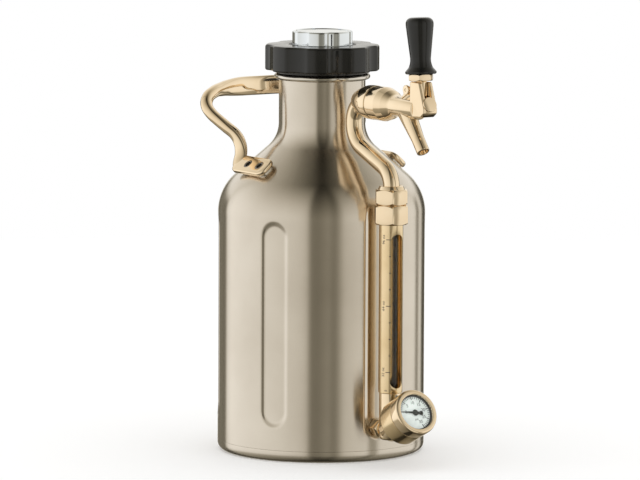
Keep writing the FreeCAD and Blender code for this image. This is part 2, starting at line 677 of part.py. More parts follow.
def valve_poppet():
    """The poppet under the diaphragm that meters the gas."""
    low = BONNET_SEAM_Z - CHAMBER_DEPTH - POPPET_H
    head = rod(POPPET_R, Vector(0, 0, low - 1), Z_AXIS, POPPET_H)
    stem = rod(POPPET_STEM_R, Vector(0, 0, low), Z_AXIS, BONNET_SEAM_Z - low)
    return head.fuse(stem).removeSplitter()


def relief_valve():
    return rod(RELIEF_R, relief_place(), Z_AXIS, RELIEF_H)


def diaphragm():
    return rod(DIAPHRAGM_R, Vector(0, 0, BONNET_SEAM_Z), Z_AXIS, DIAPHRAGM_T)


def backing_plate():
    return rod(BACKING_R, Vector(0, 0, BACKING_Z), Z_AXIS, BACKING_T)


def regulator_bonnet():
    """The cup over the spring, which clamps the diaphragm and carries the adjusting screw."""
    cup = Outline(SCREW_R + SCREW_FIT, BONNET_TOP_Z).to(REGULATOR_R, BONNET_TOP_Z).to(REGULATOR_R, BONNET_SEAM_Z)
    cup.to(DIAPHRAGM_R, BONNET_SEAM_Z).to(DIAPHRAGM_R, BACKING_Z).to(BONNET_CAVITY_R, BACKING_Z)
    cup.to(BONNET_CAVITY_R, ROOF_Z).to(SCREW_R + SCREW_FIT, ROOF_Z)
    return cup.turned()


def regulator_spring():
    """The spring between the backing plate and the spring nut, as rings joined by a strip of coil."""
    low = BACKING_Z + BACKING_T
    gap = (NUT_Z - low - 2 * SPRING_WIRE_R) / (SPRING_TURNS - 1)
    rings = [Part.makeTorus(SPRING_R, SPRING_WIRE_R, Vector(0, 0, low + SPRING_WIRE_R + gap * k), Z_AXIS)
             for k in range(SPRING_TURNS)]
    links = []
    for k in range(SPRING_TURNS - 1):
        side = SPRING_R if k % 2 else -SPRING_R
        links.append(rod(SPRING_WIRE_R / 2, Vector(side, 0, low + SPRING_WIRE_R + gap * k), Z_AXIS, gap))
    return rings[0].fuse(rings[1:] + links)


def spring_nut():
    return tube(NUT_R, SCREW_R + SCREW_FIT, Vector(0, 0, NUT_Z), Z_AXIS, NUT_T)


def cartridge_sleeve():
    """The threaded sleeve that holds the gas cartridge up against the lance."""
    floor = CARTRIDGE_TOP_Z - CARTRIDGE_H
    socket_low = SPIGOT_Z - 1
    socket_high = socket_low + SLEEVE_SOCKET_H
    sleeve = Outline(0, floor - SLEEVE_FLOOR_T).to(SLEEVE_BORE_R, floor - SLEEVE_FLOOR_T)
    sleeve.to(SLEEVE_R - 1, floor).to(SLEEVE_R - 1, socket_low - 6).to(SLEEVE_R, socket_low - 4)
    sleeve.to(SLEEVE_R, socket_high).to(SPIGOT_R + SLEEVE_FIT, socket_high).to(SPIGOT_R + SLEEVE_FIT, socket_low)
    sleeve.to(SLEEVE_BORE_R, socket_low).to(SLEEVE_BORE_R, floor).to(0, floor)
    return sleeve.turned()


def gas_cartridge():
    """The gas cartridge: a drawn bottle with a round foot and a short neck, closed at the top."""
    low = CARTRIDGE_TOP_Z - CARTRIDGE_H
    neck_low = CARTRIDGE_TOP_Z - CARTRIDGE_NECK_H
    foot = CARTRIDGE_R / 2
    cos_e, sin_e = at_angle(45)
    shoulder_z = neck_low - CARTRIDGE_R + CARTRIDGE_NECK_R
    bottle_out = Outline(0, low).to(CARTRIDGE_R - foot, low)
    bottle_out.arc((CARTRIDGE_R - foot + foot * sin_e, low + foot - foot * cos_e), (CARTRIDGE_R, low + foot))
    bottle_out.to(CARTRIDGE_R, shoulder_z).to(CARTRIDGE_NECK_R, neck_low)
    bottle_out.to(CARTRIDGE_NECK_R, CARTRIDGE_TOP_Z).to(0, CARTRIDGE_TOP_Z)
    inner_r = CARTRIDGE_R - CARTRIDGE_WALL
    neck_bore = CARTRIDGE_NECK_R - CARTRIDGE_WALL
    bottle_in = Outline(0, low + CARTRIDGE_WALL).to(inner_r - foot, low + CARTRIDGE_WALL).to(inner_r, low + foot)
    bottle_in.to(inner_r, shoulder_z).to(neck_bore, neck_low).to(neck_bore, CARTRIDGE_TOP_Z - CARTRIDGE_WALL)
    bottle_in.to(0, CARTRIDGE_TOP_Z - CARTRIDGE_WALL)
    return bottle_out.turned().cut(bottle_in.turned())


# ---- outlet, manifold and sight gauge -----------------------------------------------------------------
GAUGE_AXIS = Vector(0, -math.cos(math.radians(GAUGE_TILT)), math.sin(math.radians(GAUGE_TILT)))
GAUGE_ORIGIN = on_line(LINE_S, OUTLET_Z)
SEAL_START = BOSS_OUT
SPIGOT_START = BOSS_OUT + OUTLET_SEAL_T
GLASS_LOW_Z = MANIFOLD_HIGH_Z - GLASS_SEAT
GLASS_HIGH_Z = COUPLING_LOW_Z + GLASS_SOCKET


def outlet_nut():
    start = BODY_R - FLUTE_DEPTH + OUTLET_NUT_GAP
    flange_end = SPIGOT_START + FLANGE_SPIGOT_T
    length = LINE_S - MANIFOLD_R - start
    nut = aimed(hexagon(OUTLET_NUT_ACROSS, 0, length, 1.0), on_line(start, OUTLET_Z), FORWARD)
    wide = rod(BOSS_R, on_line(start - 1, OUTLET_Z), FORWARD, flange_end - start + 1)
    narrow = rod(FLANGE_SPIGOT_R, on_line(start - 1, OUTLET_Z), FORWARD, length + 2)
    return nut.cut([wide, narrow])


def outlet_seal():
    return tube(BOSS_R, BOSS_BORE_R, on_line(SEAL_START, OUTLET_Z), FORWARD, OUTLET_SEAL_T)


def manifold_body():
    """The block at the foot of the sight gauge: rear spigot, upright body and a branch for the gauge."""
    edge = MANIFOLD_EDGE
    upright = Outline(0, MANIFOLD_LOW_Z).to(MANIFOLD_R - edge, MANIFOLD_LOW_Z).to(MANIFOLD_R, MANIFOLD_LOW_Z + edge)
    guard_bore = GUARD_R - GUARD_WALL
    upright.to(MANIFOLD_R, MANIFOLD_HIGH_Z).to(guard_bore, MANIFOLD_HIGH_Z)
    upright.to(guard_bore, MANIFOLD_HIGH_Z + GUARD_SPIGOT_H).to(0, MANIFOLD_HIGH_Z + GUARD_SPIGOT_H)
    body = upright.turned()
    body.translate(on_line(LINE_S, 0))
    spigot = rod(FLANGE_SPIGOT_R, on_line(SPIGOT_START, OUTLET_Z), FORWARD, LINE_S - SPIGOT_START)
    flange = rod(BOSS_R, on_line(SPIGOT_START, OUTLET_Z), FORWARD, FLANGE_SPIGOT_T)
    branch = rod(BRANCH_R, GAUGE_ORIGIN, GAUGE_AXIS, BRANCH_END)
    below = box(Vector(-BODY_R, -2 * BODY_R, -BODY_R), Vector(BODY_R, 0, MANIFOLD_LOW_Z))
    body = body.fuse([spigot, flange, branch]).cut(below)
    socket_r = GLASS_R + GLASS_FIT
    cuts = [rod(FLOW_R, on_line(SPIGOT_START - 1, OUTLET_Z), FORWARD, LINE_S - SPIGOT_START + 1),
            rod(FLOW_R, GAUGE_ORIGIN, Z_AXIS, MANIFOLD_HIGH_Z - OUTLET_Z),
            rod(socket_r, on_line(LINE_S, GLASS_LOW_Z), Z_AXIS, GLASS_SOCKET + GUARD_SPIGOT_H + 1),
            rod(GAUGE_CASE_R + CASE_CLEAR, GAUGE_ORIGIN + GAUGE_AXIS * BRANCH_END, GAUGE_AXIS, GAUGE_FACE),
            rod(FLOW_R / 2, GAUGE_ORIGIN, GAUGE_AXIS, GAUGE_STEM_START),
            rod(GAUGE_STEM_R, GAUGE_ORIGIN + GAUGE_AXIS * GAUGE_STEM_START, GAUGE_AXIS, BRANCH_END),
            guard_screw_bore(), seal_grooves()[0]]
    return body.cut(cuts).removeSplitter()


def guard_screw_bore():
    start = LINE_S + GLASS_R + GLASS_FIT + SEAL_WIRE_R
    return rod(GUARD_SCREW_R, on_line(start, MANIFOLD_HIGH_Z - GUARD_SCREW_DROP), FORWARD, MANIFOLD_R)


def guard_screw():
    start = LINE_S + GLASS_R + GLASS_FIT + SEAL_WIRE_R
    length = LINE_S + MANIFOLD_R - start - 0.1
    return rod(GUARD_SCREW_R, on_line(start, MANIFOLD_HIGH_Z - GUARD_SCREW_DROP), FORWARD, length)


def sight_guard():
    """The slotted tube around the sight glass."""
    high = COUPLING_LOW_Z + GUARD_IN_COUPLING
    guard = tube(GUARD_R, GUARD_R - GUARD_WALL, on_line(LINE_S, MANIFOLD_HIGH_Z), Z_AXIS, high - MANIFOLD_HIGH_Z)
    width = 2 * GUARD_R * math.sin(math.radians(SLOT_HALF_ANGLE))
    slot = Part.Face(stadium(width, SLOT_LOW_Z, SLOT_HIGH_Z, -LINE_S)).extrude(FORWARD * 2 * GUARD_R)
    return guard.cut(slot)


def sight_glass():
    return tube(GLASS_R, GLASS_R - GLASS_WALL, on_line(LINE_S, GLASS_LOW_Z), Z_AXIS, GLASS_HIGH_Z - GLASS_LOW_Z)


def seal_ring(z):
    """A seal squeezed between the glass and its socket."""
    return tube(GLASS_R + GLASS_FIT + SEAL_WIRE_R, GLASS_R, on_line(LINE_S, z), Z_AXIS, 2 * SEAL_WIRE_R)


def seal_places():
    return [GLASS_LOW_Z + 0.6, GLASS_HIGH_Z - GLASS_SOCKET / 3 - 2 * SEAL_WIRE_R]


def sight_seals():
    return Part.makeCompound([seal_ring(z) for z in seal_places()])


def seal_grooves():
    return [rod(GLASS_R + GLASS_FIT + SEAL_WIRE_R, on_line(LINE_S, z), Z_AXIS, 2 * SEAL_WIRE_R)
            for z in seal_places()]


def coupling_body():
    """The hexagonal block on top of the sight gauge, threaded above for the union nut."""
    block = hexagon(COUPLING_ACROSS, COUPLING_LOW_Z, COUPLING_HIGH_Z, HEX_CHAMFER)
    block.translate(on_line(LINE_S, 0))
    spigot = rod(UNION_SPIGOT_R, on_line(LINE_S, COUPLING_HIGH_Z - 1), Z_AXIS, UNION_SPIGOT_H + 1)
    guard_socket = rod(GUARD_R, on_line(LINE_S, COUPLING_LOW_Z - 1), Z_AXIS, GUARD_IN_COUPLING + 1)
    glass_socket = rod(GLASS_R + GLASS_FIT, on_line(LINE_S, COUPLING_LOW_Z), Z_AXIS, GLASS_SOCKET)
    flow = rod(FLOW_R, on_line(LINE_S, COUPLING_LOW_Z), Z_AXIS, COUPLING_HIGH_Z)
    upper_seal = seal_grooves()[1]
    return block.fuse(spigot).cut([guard_socket, glass_socket, flow, upper_seal])


def union_nut():
    nut = hexagon(UNION_NUT_ACROSS, UNION_NUT_LOW_Z, UNION_NUT_HIGH_Z, HEX_CHAMFER)
    nut.translate(on_line(LINE_S, 0))
    collar = Part.makeCone(UNION_COLLAR_R, UNION_COLLAR_R - 1.2, UNION_COLLAR_H,
                           on_line(LINE_S, UNION_NUT_HIGH_Z), Z_AXIS)
    thread = rod(UNION_SPIGOT_R, on_line(LINE_S, UNION_NUT_LOW_Z - 1), Z_AXIS,
                 COUPLING_HIGH_Z + UNION_SPIGOT_H - UNION_NUT_LOW_Z + 1 + RISER_FLANGE_T)
    return nut.fuse(collar).cut([thread, rod(RISER_R, on_line(LINE_S, 0), Z_AXIS, TAP_Z)])


# ---- riser and tap ------------------------------------------------------------------------------------


def pipe_run(corners, radii, section_r):
    """A round bar through corner points, each inner corner replaced by an arc of the given radius."""
    edges = []
    start = corners[0]
    for k in range(1, len(corners) - 1):
        before = (corners[k - 1] - corners[k]).normalize()
        after = (corners[k + 1] - corners[k]).normalize()
        half = before.getAngle(after) / 2
        setback = radii[k - 1] / math.tan(half)
        enter = corners[k] + before * setback
        leave = corners[k] + after * setback
        inward = (before + after).normalize()
        middle = corners[k] + inward * (radii[k - 1] / math.sin(half) - radii[k - 1])
        edges += [Part.makeLine(start, enter), Part.Arc(enter, middle, leave).toShape()]
        start = leave
    edges.append(Part.makeLine(start, corners[-1]))
    path = Part.Wire(edges)
    direction = (corners[1] - corners[0]).normalize()
    circle = Part.Wire(Part.makeCircle(section_r, corners[0], direction))
    return path.makePipeShell([circle], True, False)


def riser_corners():
    """Corner points of the riser's axis, from its flange in the union nut up to the elbow."""
    setback = RISER_HIGH_R * math.tan(math.radians((90 - RISER_SLOPE) / 2))
    high_z = TAP_Z - ELBOW_R - RISER_STRAIGHT - setback
    high = on_line(RISER_TOP_S, high_z)
    low = on_line(LINE_S, high_z - (LINE_S - RISER_TOP_S) * math.tan(math.radians(RISER_SLOPE)))
    return [on_line(LINE_S, COUPLING_HIGH_Z + UNION_SPIGOT_H), low, high, on_line(RISER_TOP_S, TAP_Z - ELBOW_R)]


def riser_tube():
    corners = riser_corners()
    radii = [RISER_LOW_R, RISER_HIGH_R]
    outside = pipe_run(corners, radii, RISER_R)
    inside = pipe_run(corners, radii, RISER_R - RISER_WALL)
    flange = rod(UNION_SPIGOT_R, corners[0], Z_AXIS, RISER_FLANGE_T)
    return outside.fuse(flange).cut(inside)


def elbow_bend(section_r):
    """The quarter turn from the riser's top into the tap's axis."""
    base = on_line(RISER_TOP_S, TAP_Z - ELBOW_R)
    circle = Part.Face(Part.Wire(Part.makeCircle(section_r, base, Z_AXIS)))
    return circle.revolve(on_line(RISER_TOP_S + ELBOW_R, TAP_Z - ELBOW_R), X_AXIS, 90)


def tap_elbow():
    """The elbow on the riser, which flares into the shank that the tap screws into."""
    flare_mid_s = (FLARE_START_S + FLARE_END_S) / 2 + 1
    flare = Outline(0, FLARE_START_S).to(RISER_R, FLARE_START_S)
    flare.arc((0.86 * FLARE_R, flare_mid_s), (FLARE_R, FLARE_END_S))
    flare.to(FLARE_R, SHANK_END_S - 0.8).to(FLARE_R - 0.8, SHANK_END_S).to(0, SHANK_END_S)
    shank = aimed(flare.turned(), on_line(0, TAP_Z), FORWARD)
    body = elbow_bend(RISER_R).fuse(shank)
    bore_start = RISER_TOP_S + ELBOW_R
    bore = rod(ELBOW_BORE_R, on_line(bore_start, TAP_Z), FORWARD, SHANK_END_S - bore_start)
    socket = rod(SHANK_BORE_R, on_line(SHANK_END_S - SHANK_SOCKET, TAP_Z), FORWARD, SHANK_SOCKET + 1)
    return body.cut([elbow_bend(ELBOW_BORE_R), bore, socket]).removeSplitter()


def tap_column():
    """The upright part of the tap that houses the lever: a slab with a slanted front and a blunt nose."""
    rear = COLUMN_REAR_S
    points = [on_line(rear, TAP_Z), on_line(rear, COLUMN_TOP_Z), on_line(COLUMN_TOP_FRONT_S, COLUMN_TOP_Z),
              on_line(COLUMN_NOSE_S, COLUMN_NOSE_Z), on_line(COLUMN_NOSE_S, COLUMN_CHIN_Z),
              on_line(COLUMN_NOSE_S - 4, COLUMN_LOW_Z), on_line(rear, COLUMN_LOW_Z - 1)]
    side = Part.Face(Part.makePolygon(points + points[:1]))
    side.translate(Vector(-COLUMN_W / 2, 0, 0))
    column = side.extrude(Vector(COLUMN_W, 0, 0))
    corners = [edge for edge in column.Edges if abs(edge.CenterOfMass.x) < 0.01
               and edge.CenterOfMass.z > COLUMN_CHIN_Z - 0.1 and abs(edge.CenterOfMass.z - TAP_Z) > 0.01]
    column = column.makeFillet(COLUMN_CORNER_R, corners)
    sides = [edge for edge in column.Edges if abs(edge.CenterOfMass.x) > COLUMN_W / 2 - 0.01]
    return column.makeFillet(COLUMN_EDGE_R, sides)


def spout_axis():
    start = on_line(*SPOUT_FROM)
    end = on_line(*SPOUT_TO)
    return start, (end - start).normalize(), (end - start).Length


def lock_ear():
    """The ear behind the column that carries the lock, with a web down to the barrel."""
    half = Vector(LOCK_EAR_W / 2, 0, 0)
    rear_s = COLUMN_REAR_S + 2
    web = [on_line(LOCK_WEB_S, TAP_Z + BARREL_R - 2), on_line(LOCK_S - 0.8 * LOCK_EAR_R, LOCK_Z + 0.6 * LOCK_EAR_R),
           on_line(LOCK_S, LOCK_Z + LOCK_EAR_R), on_line(rear_s, LOCK_Z + LOCK_EAR_R),
           on_line(rear_s, TAP_Z + BARREL_R - 2)]
    side = Part.Face(Part.makePolygon(web + web[:1]))
    side.translate(-half)
    return side.extrude(half * 2).fuse(rod(LOCK_EAR_R, on_line(LOCK_S, LOCK_Z) - half, X_AXIS, LOCK_EAR_W))


def tap_body():
    """The tap in one casting: bell, barrel, column, ear for the lock, and spout."""
    spigot_start = SHANK_END_S - SHANK_SOCKET + CREASE
    bell_start = SHANK_END_S + CREASE
    cone = (BELL_R + BARREL_R) / 2
    middle_s = (BELL_END_S + THROAT_S) / 2
    bell = Outline(0, spigot_start).to(SHANK_BORE_R, spigot_start).to(SHANK_BORE_R, bell_start)
    bell.to(BELL_R - 0.8, bell_start).to(BELL_R, bell_start + 0.8).to(BELL_R, BELL_END_S - 4)
    bell.arc((BELL_R - 0.7, BELL_END_S - 0.5), (cone, middle_s - 0.5))
    bell.arc((BARREL_R + 0.8, THROAT_S - 1.5), (BARREL_R, THROAT_S + 3))
    bell.to(BARREL_R, COLUMN_REAR_S + 4).to(0, COLUMN_REAR_S + 4)
    barrel = aimed(bell.turned(), on_line(0, TAP_Z), FORWARD)
    start, along, length = spout_axis()
    taper = Part.makeCone(SPOUT_ROOT_R, SPOUT_TIP_R, length - SPOUT_TIP_LEN, start, along)
    tip = rod(SPOUT_TIP_R, start + along * (length - SPOUT_TIP_LEN), along, SPOUT_TIP_LEN)
    body = barrel.fuse([tap_column(), taper, tip, lock_ear()]).removeSplitter()
    return body.cut(tap_cavities()).removeSplitter()


def tap_cavities():
    start, along, length = spout_axis()
    half = CAVITY_W / 2
    above = COLUMN_TOP_Z + 5
    lever_space = box(Vector(-half, -CAVITY_FRONT_S, CAVITY_LOW_Z),
                      Vector(half, -(COLUMN_REAR_S + CAVITY_REAR_WALL), above))
    front_slot = box(Vector(-half, -(COLUMN_NOSE_S + 5), SLOT_SILL_Z), Vector(half, -PIVOT_S, above))
    rod_space = box(Vector(-half, -CAVITY_FRONT_S, CAVITY_LOW_Z),
                    Vector(half, -(OUTLET_CHAMBER_END_S + 3), 2 * TAP_Z - CAVITY_LOW_Z))
    spout_bore = rod(SPOUT_BORE_R, start + along * 2, along, length)
    pin_bore = rod(PIN_R, on_line(PIVOT_S, PIVOT_Z) + X_AXIS * (PIN_WALL - COLUMN_W / 2), X_AXIS, COLUMN_W)
    lock_bore = rod(LOCK_SHAFT_R + LOCK_FIT, on_line(LOCK_S, LOCK_Z) - X_AXIS * LOCK_EAR_W, X_AXIS, 2 * LOCK_EAR_W)
    plug_base, plug_axis = plug_place()
    plug_bore = rod(PLUG_STEM_R, plug_base - plug_axis * (PLUG_STEM_L + 1), plug_axis, PLUG_STEM_L + 2)
    return spigot_bores() + [lever_space, front_slot, rod_space, spout_bore, pin_bore, lock_bore, plug_bore]


def spigot_bores():
    inlet_start = SHANK_END_S - SHANK_SOCKET
    return [rod(BARREL_BORE_R, on_line(inlet_start, TAP_Z), FORWARD, SEAT_S - inlet_start),
            rod(SEAT_BORE_R, on_line(SEAT_S - 1, TAP_Z), FORWARD, SEAT_LEN + 2),
            rod(OUTLET_CHAMBER_R, on_line(SEAT_S + SEAT_LEN, TAP_Z), FORWARD,
                OUTLET_CHAMBER_END_S - SEAT_S - SEAT_LEN),
            rod(ROD_R + ROD_FIT, on_line(SEAT_S, TAP_Z), FORWARD, COLUMN_REAR_S - SEAT_S)]


def plug_place():
    """Seat of the round plug on the column's slanted front, with the direction it faces."""
    run = COLUMN_NOSE_S - COLUMN_TOP_FRONT_S
    rise = COLUMN_TOP_Z - COLUMN_NOSE_Z
    face_s = COLUMN_NOSE_S - (PLUG_Z - COLUMN_NOSE_Z) * run / rise
    return on_line(face_s, PLUG_Z), Vector(0, -rise, run).normalize()


def front_plug():
    base, axis = plug_place()
    disc = Outline(0, 0).to(PLUG_R, 0).to(PLUG_R, PLUG_T - 0.3).to(PLUG_R - 0.3, PLUG_T).to(0, PLUG_T).turned()
    stem = rod(PLUG_STEM_R, Vector(0, 0, -PLUG_STEM_L), Z_AXIS, PLUG_STEM_L)
    return aimed(disc.fuse(stem).removeSplitter(), base, axis)


def valve_plunger():
    """The valve's disc and rod, with a slotted head that the lever's finger moves."""
    disc_start = SEAT_S - 4.6
    disc = rod(BARREL_BORE_R - 1.2, on_line(disc_start, TAP_Z), FORWARD, 2.2)
    stem = rod(ROD_R, on_line(disc_start, TAP_Z), FORWARD, PIVOT_S - 4 - disc_start)
    half = CAVITY_W / 2 - BALL_CLEAR
    head = box(Vector(-half, -(PIVOT_S + 3.6), TAP_Z - ROD_R), Vector(half, -(PIVOT_S - 4.4), TAP_Z + ROD_R))
    slot = BALL_R + BALL_CLEAR
    hole = box(Vector(-slot, -(PIVOT_S + slot), TAP_Z - 5), Vector(slot, -(PIVOT_S - slot), TAP_Z + 5))
    return disc.fuse([stem, head]).cut(hole)


def valve_seal():
    return tube(BARREL_BORE_R - 0.8, ROD_R, on_line(SEAT_S - 2.4, TAP_Z), FORWARD, 2.1)


def leaned(shape):
    """A part of the lever built straight up from its pivot, leaned back to where the shut lever stands."""
    shape.translate(on_line(PIVOT_S, PIVOT_Z))
    return shape.rotate(on_line(PIVOT_S, PIVOT_Z), X_AXIS, -LEVER_LEAN)


def tap_lever():
    """The lever: threaded stud above, tongue around the pivot pin, and finger with a ball below."""
    half = TONGUE_W / 2
    upper = box(Vector(-TONGUE_T / 2, -half, 0), Vector(TONGUE_T / 2, half, FERRULE_RISE))
    upper = upper.fuse(rod(LEVER_STUD_R, Vector(0, 0, FERRULE_RISE), Z_AXIS, FERRULE_H + LEVER_STUD_H))
    upper = leaned(upper)
    pivot = on_line(PIVOT_S, PIVOT_Z)
    boss = rod(half, pivot - X_AXIS * TONGUE_T / 2, X_AXIS, TONGUE_T)
    finger = rod(FINGER_R, on_line(PIVOT_S, TAP_Z), Z_AXIS, PIVOT_Z - TAP_Z)
    ball = Part.makeSphere(BALL_R, on_line(PIVOT_S, TAP_Z))
    lever = boss.fuse([upper, finger, ball])
    return lever.cut(rod(PIN_R + PIN_FIT, pivot - X_AXIS * TONGUE_T, X_AXIS, 2 * TONGUE_T)).removeSplitter()


def lever_pin():
    return rod(PIN_R, on_line(PIVOT_S, PIVOT_Z) + X_AXIS * (PIN_WALL - COLUMN_W / 2), X_AXIS, COLUMN_W - PIN_WALL - 0.2)


def lever_ferrule():
    nut = hexagon(FERRULE_ACROSS, FERRULE_RISE, FERRULE_RISE + FERRULE_H, 1.0)
    nut = nut.rotate(ORIGIN, Z_AXIS, FERRULE_TURN).cut(rod(LEVER_STUD_R, ORIGIN, Z_AXIS, GRIP_H))
    return leaned(nut)


def tap_grip():
    """The turned grip: a flared foot, a narrow waist and a wide rounded head."""
    edge = GRIP_HEAD_EDGE
    cos_e, sin_e = at_angle(45)
    grip = Outline(0, 0).to(GRIP_FLARE_R - 0.6, 0).to(GRIP_FLARE_R, 0.6).to(GRIP_FLARE_R, GRIP_FLARE_H)
    grip.arc((GRIP_WAIST_R + 1.5, GRIP_FLARE_H + 3.2), (GRIP_WAIST_R, GRIP_WAIST_H)).to(GRIP_HEAD_R, GRIP_HEAD_H)
    round_low = GRIP_H - edge - 0.9
    grip.to(GRIP_HEAD_R, round_low)
    grip.arc((GRIP_HEAD_R - edge + edge * cos_e, round_low + edge * sin_e), (GRIP_HEAD_R - edge, round_low + edge))
    grip.arc((GRIP_HEAD_R / 3, GRIP_H - 0.2), (0.8, GRIP_H)).to(0, GRIP_H)
    solid = grip.turned().cut(rod(LEVER_STUD_R, Vector(0, 0, -1), Z_AXIS, LEVER_STUD_H + 1))
    solid.translate(Vector(0, 0, FERRULE_RISE + FERRULE_H))
    return leaned(solid)


def lock_knob():
    """The quarter-turn lock behind the column: a round head on a shaft that crosses the ear."""
    face = -LOCK_EAR_W / 2 - LOCK_GAP
    centre = on_line(LOCK_S, LOCK_Z)
    head = rod(LOCK_KNOB_R, centre + X_AXIS * (face - LOCK_KNOB_T), X_AXIS, LOCK_KNOB_T)
    head = head.makeFillet(0.5, [edge for edge in head.Edges if edge.CenterOfMass.x < face - LOCK_KNOB_T + 0.01])
    shaft = rod(LOCK_SHAFT_R, centre + X_AXIS * face, X_AXIS, LOCK_EAR_W + LOCK_GAP)
    return head.fuse(shaft).removeSplitter()


# ---- pressure gauge -----------------------------------------------------------------------------------
def on_gauge(shape):
    """A shape built up the Z axis, with Y as the gauge's upper side, placed on the gauge's axis."""
    right = X_AXIS
    up = GAUGE_AXIS.cross(right)
    moved = shape.copy()
    matrix = FreeCAD.Matrix(right.x, up.x, GAUGE_AXIS.x, GAUGE_ORIGIN.x,
                            right.y, up.y, GAUGE_AXIS.y, GAUGE_ORIGIN.y,
                            right.z, up.z, GAUGE_AXIS.z, GAUGE_ORIGIN.z,
                            0, 0, 0, 1)
    moved.Placement = FreeCAD.Placement(matrix)
    return moved


LENS_LOW = GAUGE_FACE - LIP_T - LENS_T
LEDGE = DIAL_PLATE_FACE - DIAL_PLATE_T


def gauge_case():
    """The gauge's case: stem, cup with a chamfered back, and a thinner neck under the bezel."""
    chamfer = GAUGE_CASE_CHAMFER
    floor = GAUGE_BACK + GAUGE_WALL
    cavity = GAUGE_WINDOW_R - DIAL_PLATE_LEDGE
    case = Outline(FLOW_R / 2, GAUGE_STEM_START).to(GAUGE_STEM_R, GAUGE_STEM_START).to(GAUGE_STEM_R, GAUGE_BACK)
    case.to(GAUGE_CASE_R - chamfer, GAUGE_BACK).to(GAUGE_CASE_R, GAUGE_BACK + chamfer)
    case.to(GAUGE_CASE_R, GAUGE_SEAM).to(GAUGE_NECK_R, GAUGE_SEAM).to(GAUGE_NECK_R, LENS_LOW)
    case.to(GAUGE_WINDOW_R, LENS_LOW).to(GAUGE_WINDOW_R, LEDGE).to(cavity, LEDGE)
    case.to(cavity, floor + 2 * GAUGE_WALL).to(cavity - 2 * GAUGE_WALL, floor).to(FLOW_R / 2, floor)
    return on_gauge(case.turned())


def gauge_bezel():
    edge = GAUGE_BEZEL_EDGE
    cos_e, sin_e = at_angle(45)
    centre = (GAUGE_BEZEL_R - edge, GAUGE_FACE - edge)
    ring = Outline(GAUGE_NECK_R, GAUGE_SEAM + 0.3).to(GAUGE_BEZEL_R - 0.5, GAUGE_SEAM + 0.3)
    ring.to(GAUGE_BEZEL_R, GAUGE_SEAM + 0.8).to(GAUGE_BEZEL_R, GAUGE_FACE - edge)
    ring.arc((centre[0] + edge * cos_e, centre[1] + edge * sin_e), (centre[0], GAUGE_FACE))
    ring.to(GAUGE_WINDOW_R + 0.5, GAUGE_FACE).to(GAUGE_WINDOW_R, GAUGE_FACE - 0.5)
    ring.to(GAUGE_WINDOW_R, GAUGE_FACE - LIP_T).to(GAUGE_NECK_R, GAUGE_FACE - LIP_T)
    return on_gauge(ring.turned())


def gauge_lens():
    return on_gauge(rod(GAUGE_NECK_R, Vector(0, 0, LENS_LOW), Z_AXIS, LENS_T))


def gauge_dial():
    hole = 3 * SPINDLE_R
    return on_gauge(tube(GAUGE_WINDOW_R, hole, Vector(0, 0, LEDGE), Z_AXIS, DIAL_PLATE_T))


def gauge_needle():
    """Pointer, hub and spindle in one, pointing along the needle's rest angle."""
    low = DIAL_PLATE_FACE + NEEDLE_LIFT
    half = NEEDLE_W / 2
    outline = [Vector(-NEEDLE_TAIL, -half, low), Vector(0, -half, low), Vector(NEEDLE_LEN, -0.15, low),
               Vector(NEEDLE_LEN, 0.15, low), Vector(0, half, low), Vector(-NEEDLE_TAIL, half, low)]
    pointer = Part.Face(Part.makePolygon(outline + outline[:1])).extrude(Vector(0, 0, NEEDLE_T))
    weight = rod(NEEDLE_W, Vector(-NEEDLE_TAIL, 0, low), Z_AXIS, NEEDLE_T)
    hub = rod(NEEDLE_HUB_R, Vector(0, 0, low), Z_AXIS, 2 * NEEDLE_T)
    spindle_low = LEDGE - MOVEMENT_T - 1
    spindle = rod(SPINDLE_R, Vector(0, 0, spindle_low), Z_AXIS, low - spindle_low)
    needle = pointer.fuse([weight, hub, spindle])
    needle.rotate(ORIGIN, Z_AXIS, NEEDLE_REST)
    return on_gauge(needle.removeSplitter())


def gauge_movement():
    """The plate movement under the dial, on a pillar that stands on the case's floor."""
    top = LEDGE - 0.6
    low = top - MOVEMENT_T
    floor = GAUGE_BACK + GAUGE_WALL
    block = box(Vector(-MOVEMENT_W / 2, -MOVEMENT_H / 2, low), Vector(MOVEMENT_W / 2, MOVEMENT_H / 2, top))
    pillar = box(Vector(-MOVEMENT_W / 2, -MOVEMENT_H / 2, floor), Vector(-FLOW_R, MOVEMENT_H / 2, low))
    spindle_bore = rod(SPINDLE_R + SPINDLE_FIT, Vector(0, 0, floor), Z_AXIS, GAUGE_FACE)
    return on_gauge(block.fuse(pillar).cut(spindle_bore).removeSplitter())


def bourdon_tube():
    """The curved pressure tube around the movement, rooted on the case's floor."""
    height = (GAUGE_BACK + GAUGE_WALL + LEDGE) / 2
    centre = Vector(0, 0, height)
    start = Vector(BOURDON_R, 0, height)
    section = Part.Face(Part.Wire(Part.makeCircle(BOURDON_TUBE_R, start, Vector(0, 1, 0))))
    curve = section.revolve(centre, Z_AXIS, BOURDON_SWEEP)
    root_low = GAUGE_BACK + GAUGE_WALL
    root = rod(BOURDON_TUBE_R, Vector(BOURDON_R, 0, root_low), Z_AXIS, height - root_low)
    cup = Outline(0, root_low).to(BOURDON_R - 2 * GAUGE_WALL, root_low)
    cup.to(GAUGE_WINDOW_R - DIAL_PLATE_LEDGE, root_low + 2 * GAUGE_WALL)
    cup.to(GAUGE_WINDOW_R - DIAL_PLATE_LEDGE, LEDGE).to(0, LEDGE)
    tube_in_case = curve.fuse(root).common(case_space())
    tube_in_case.rotate(ORIGIN, Z_AXIS, -(180 - BOURDON_SWEEP / 2))
    return on_gauge(tube_in_case)


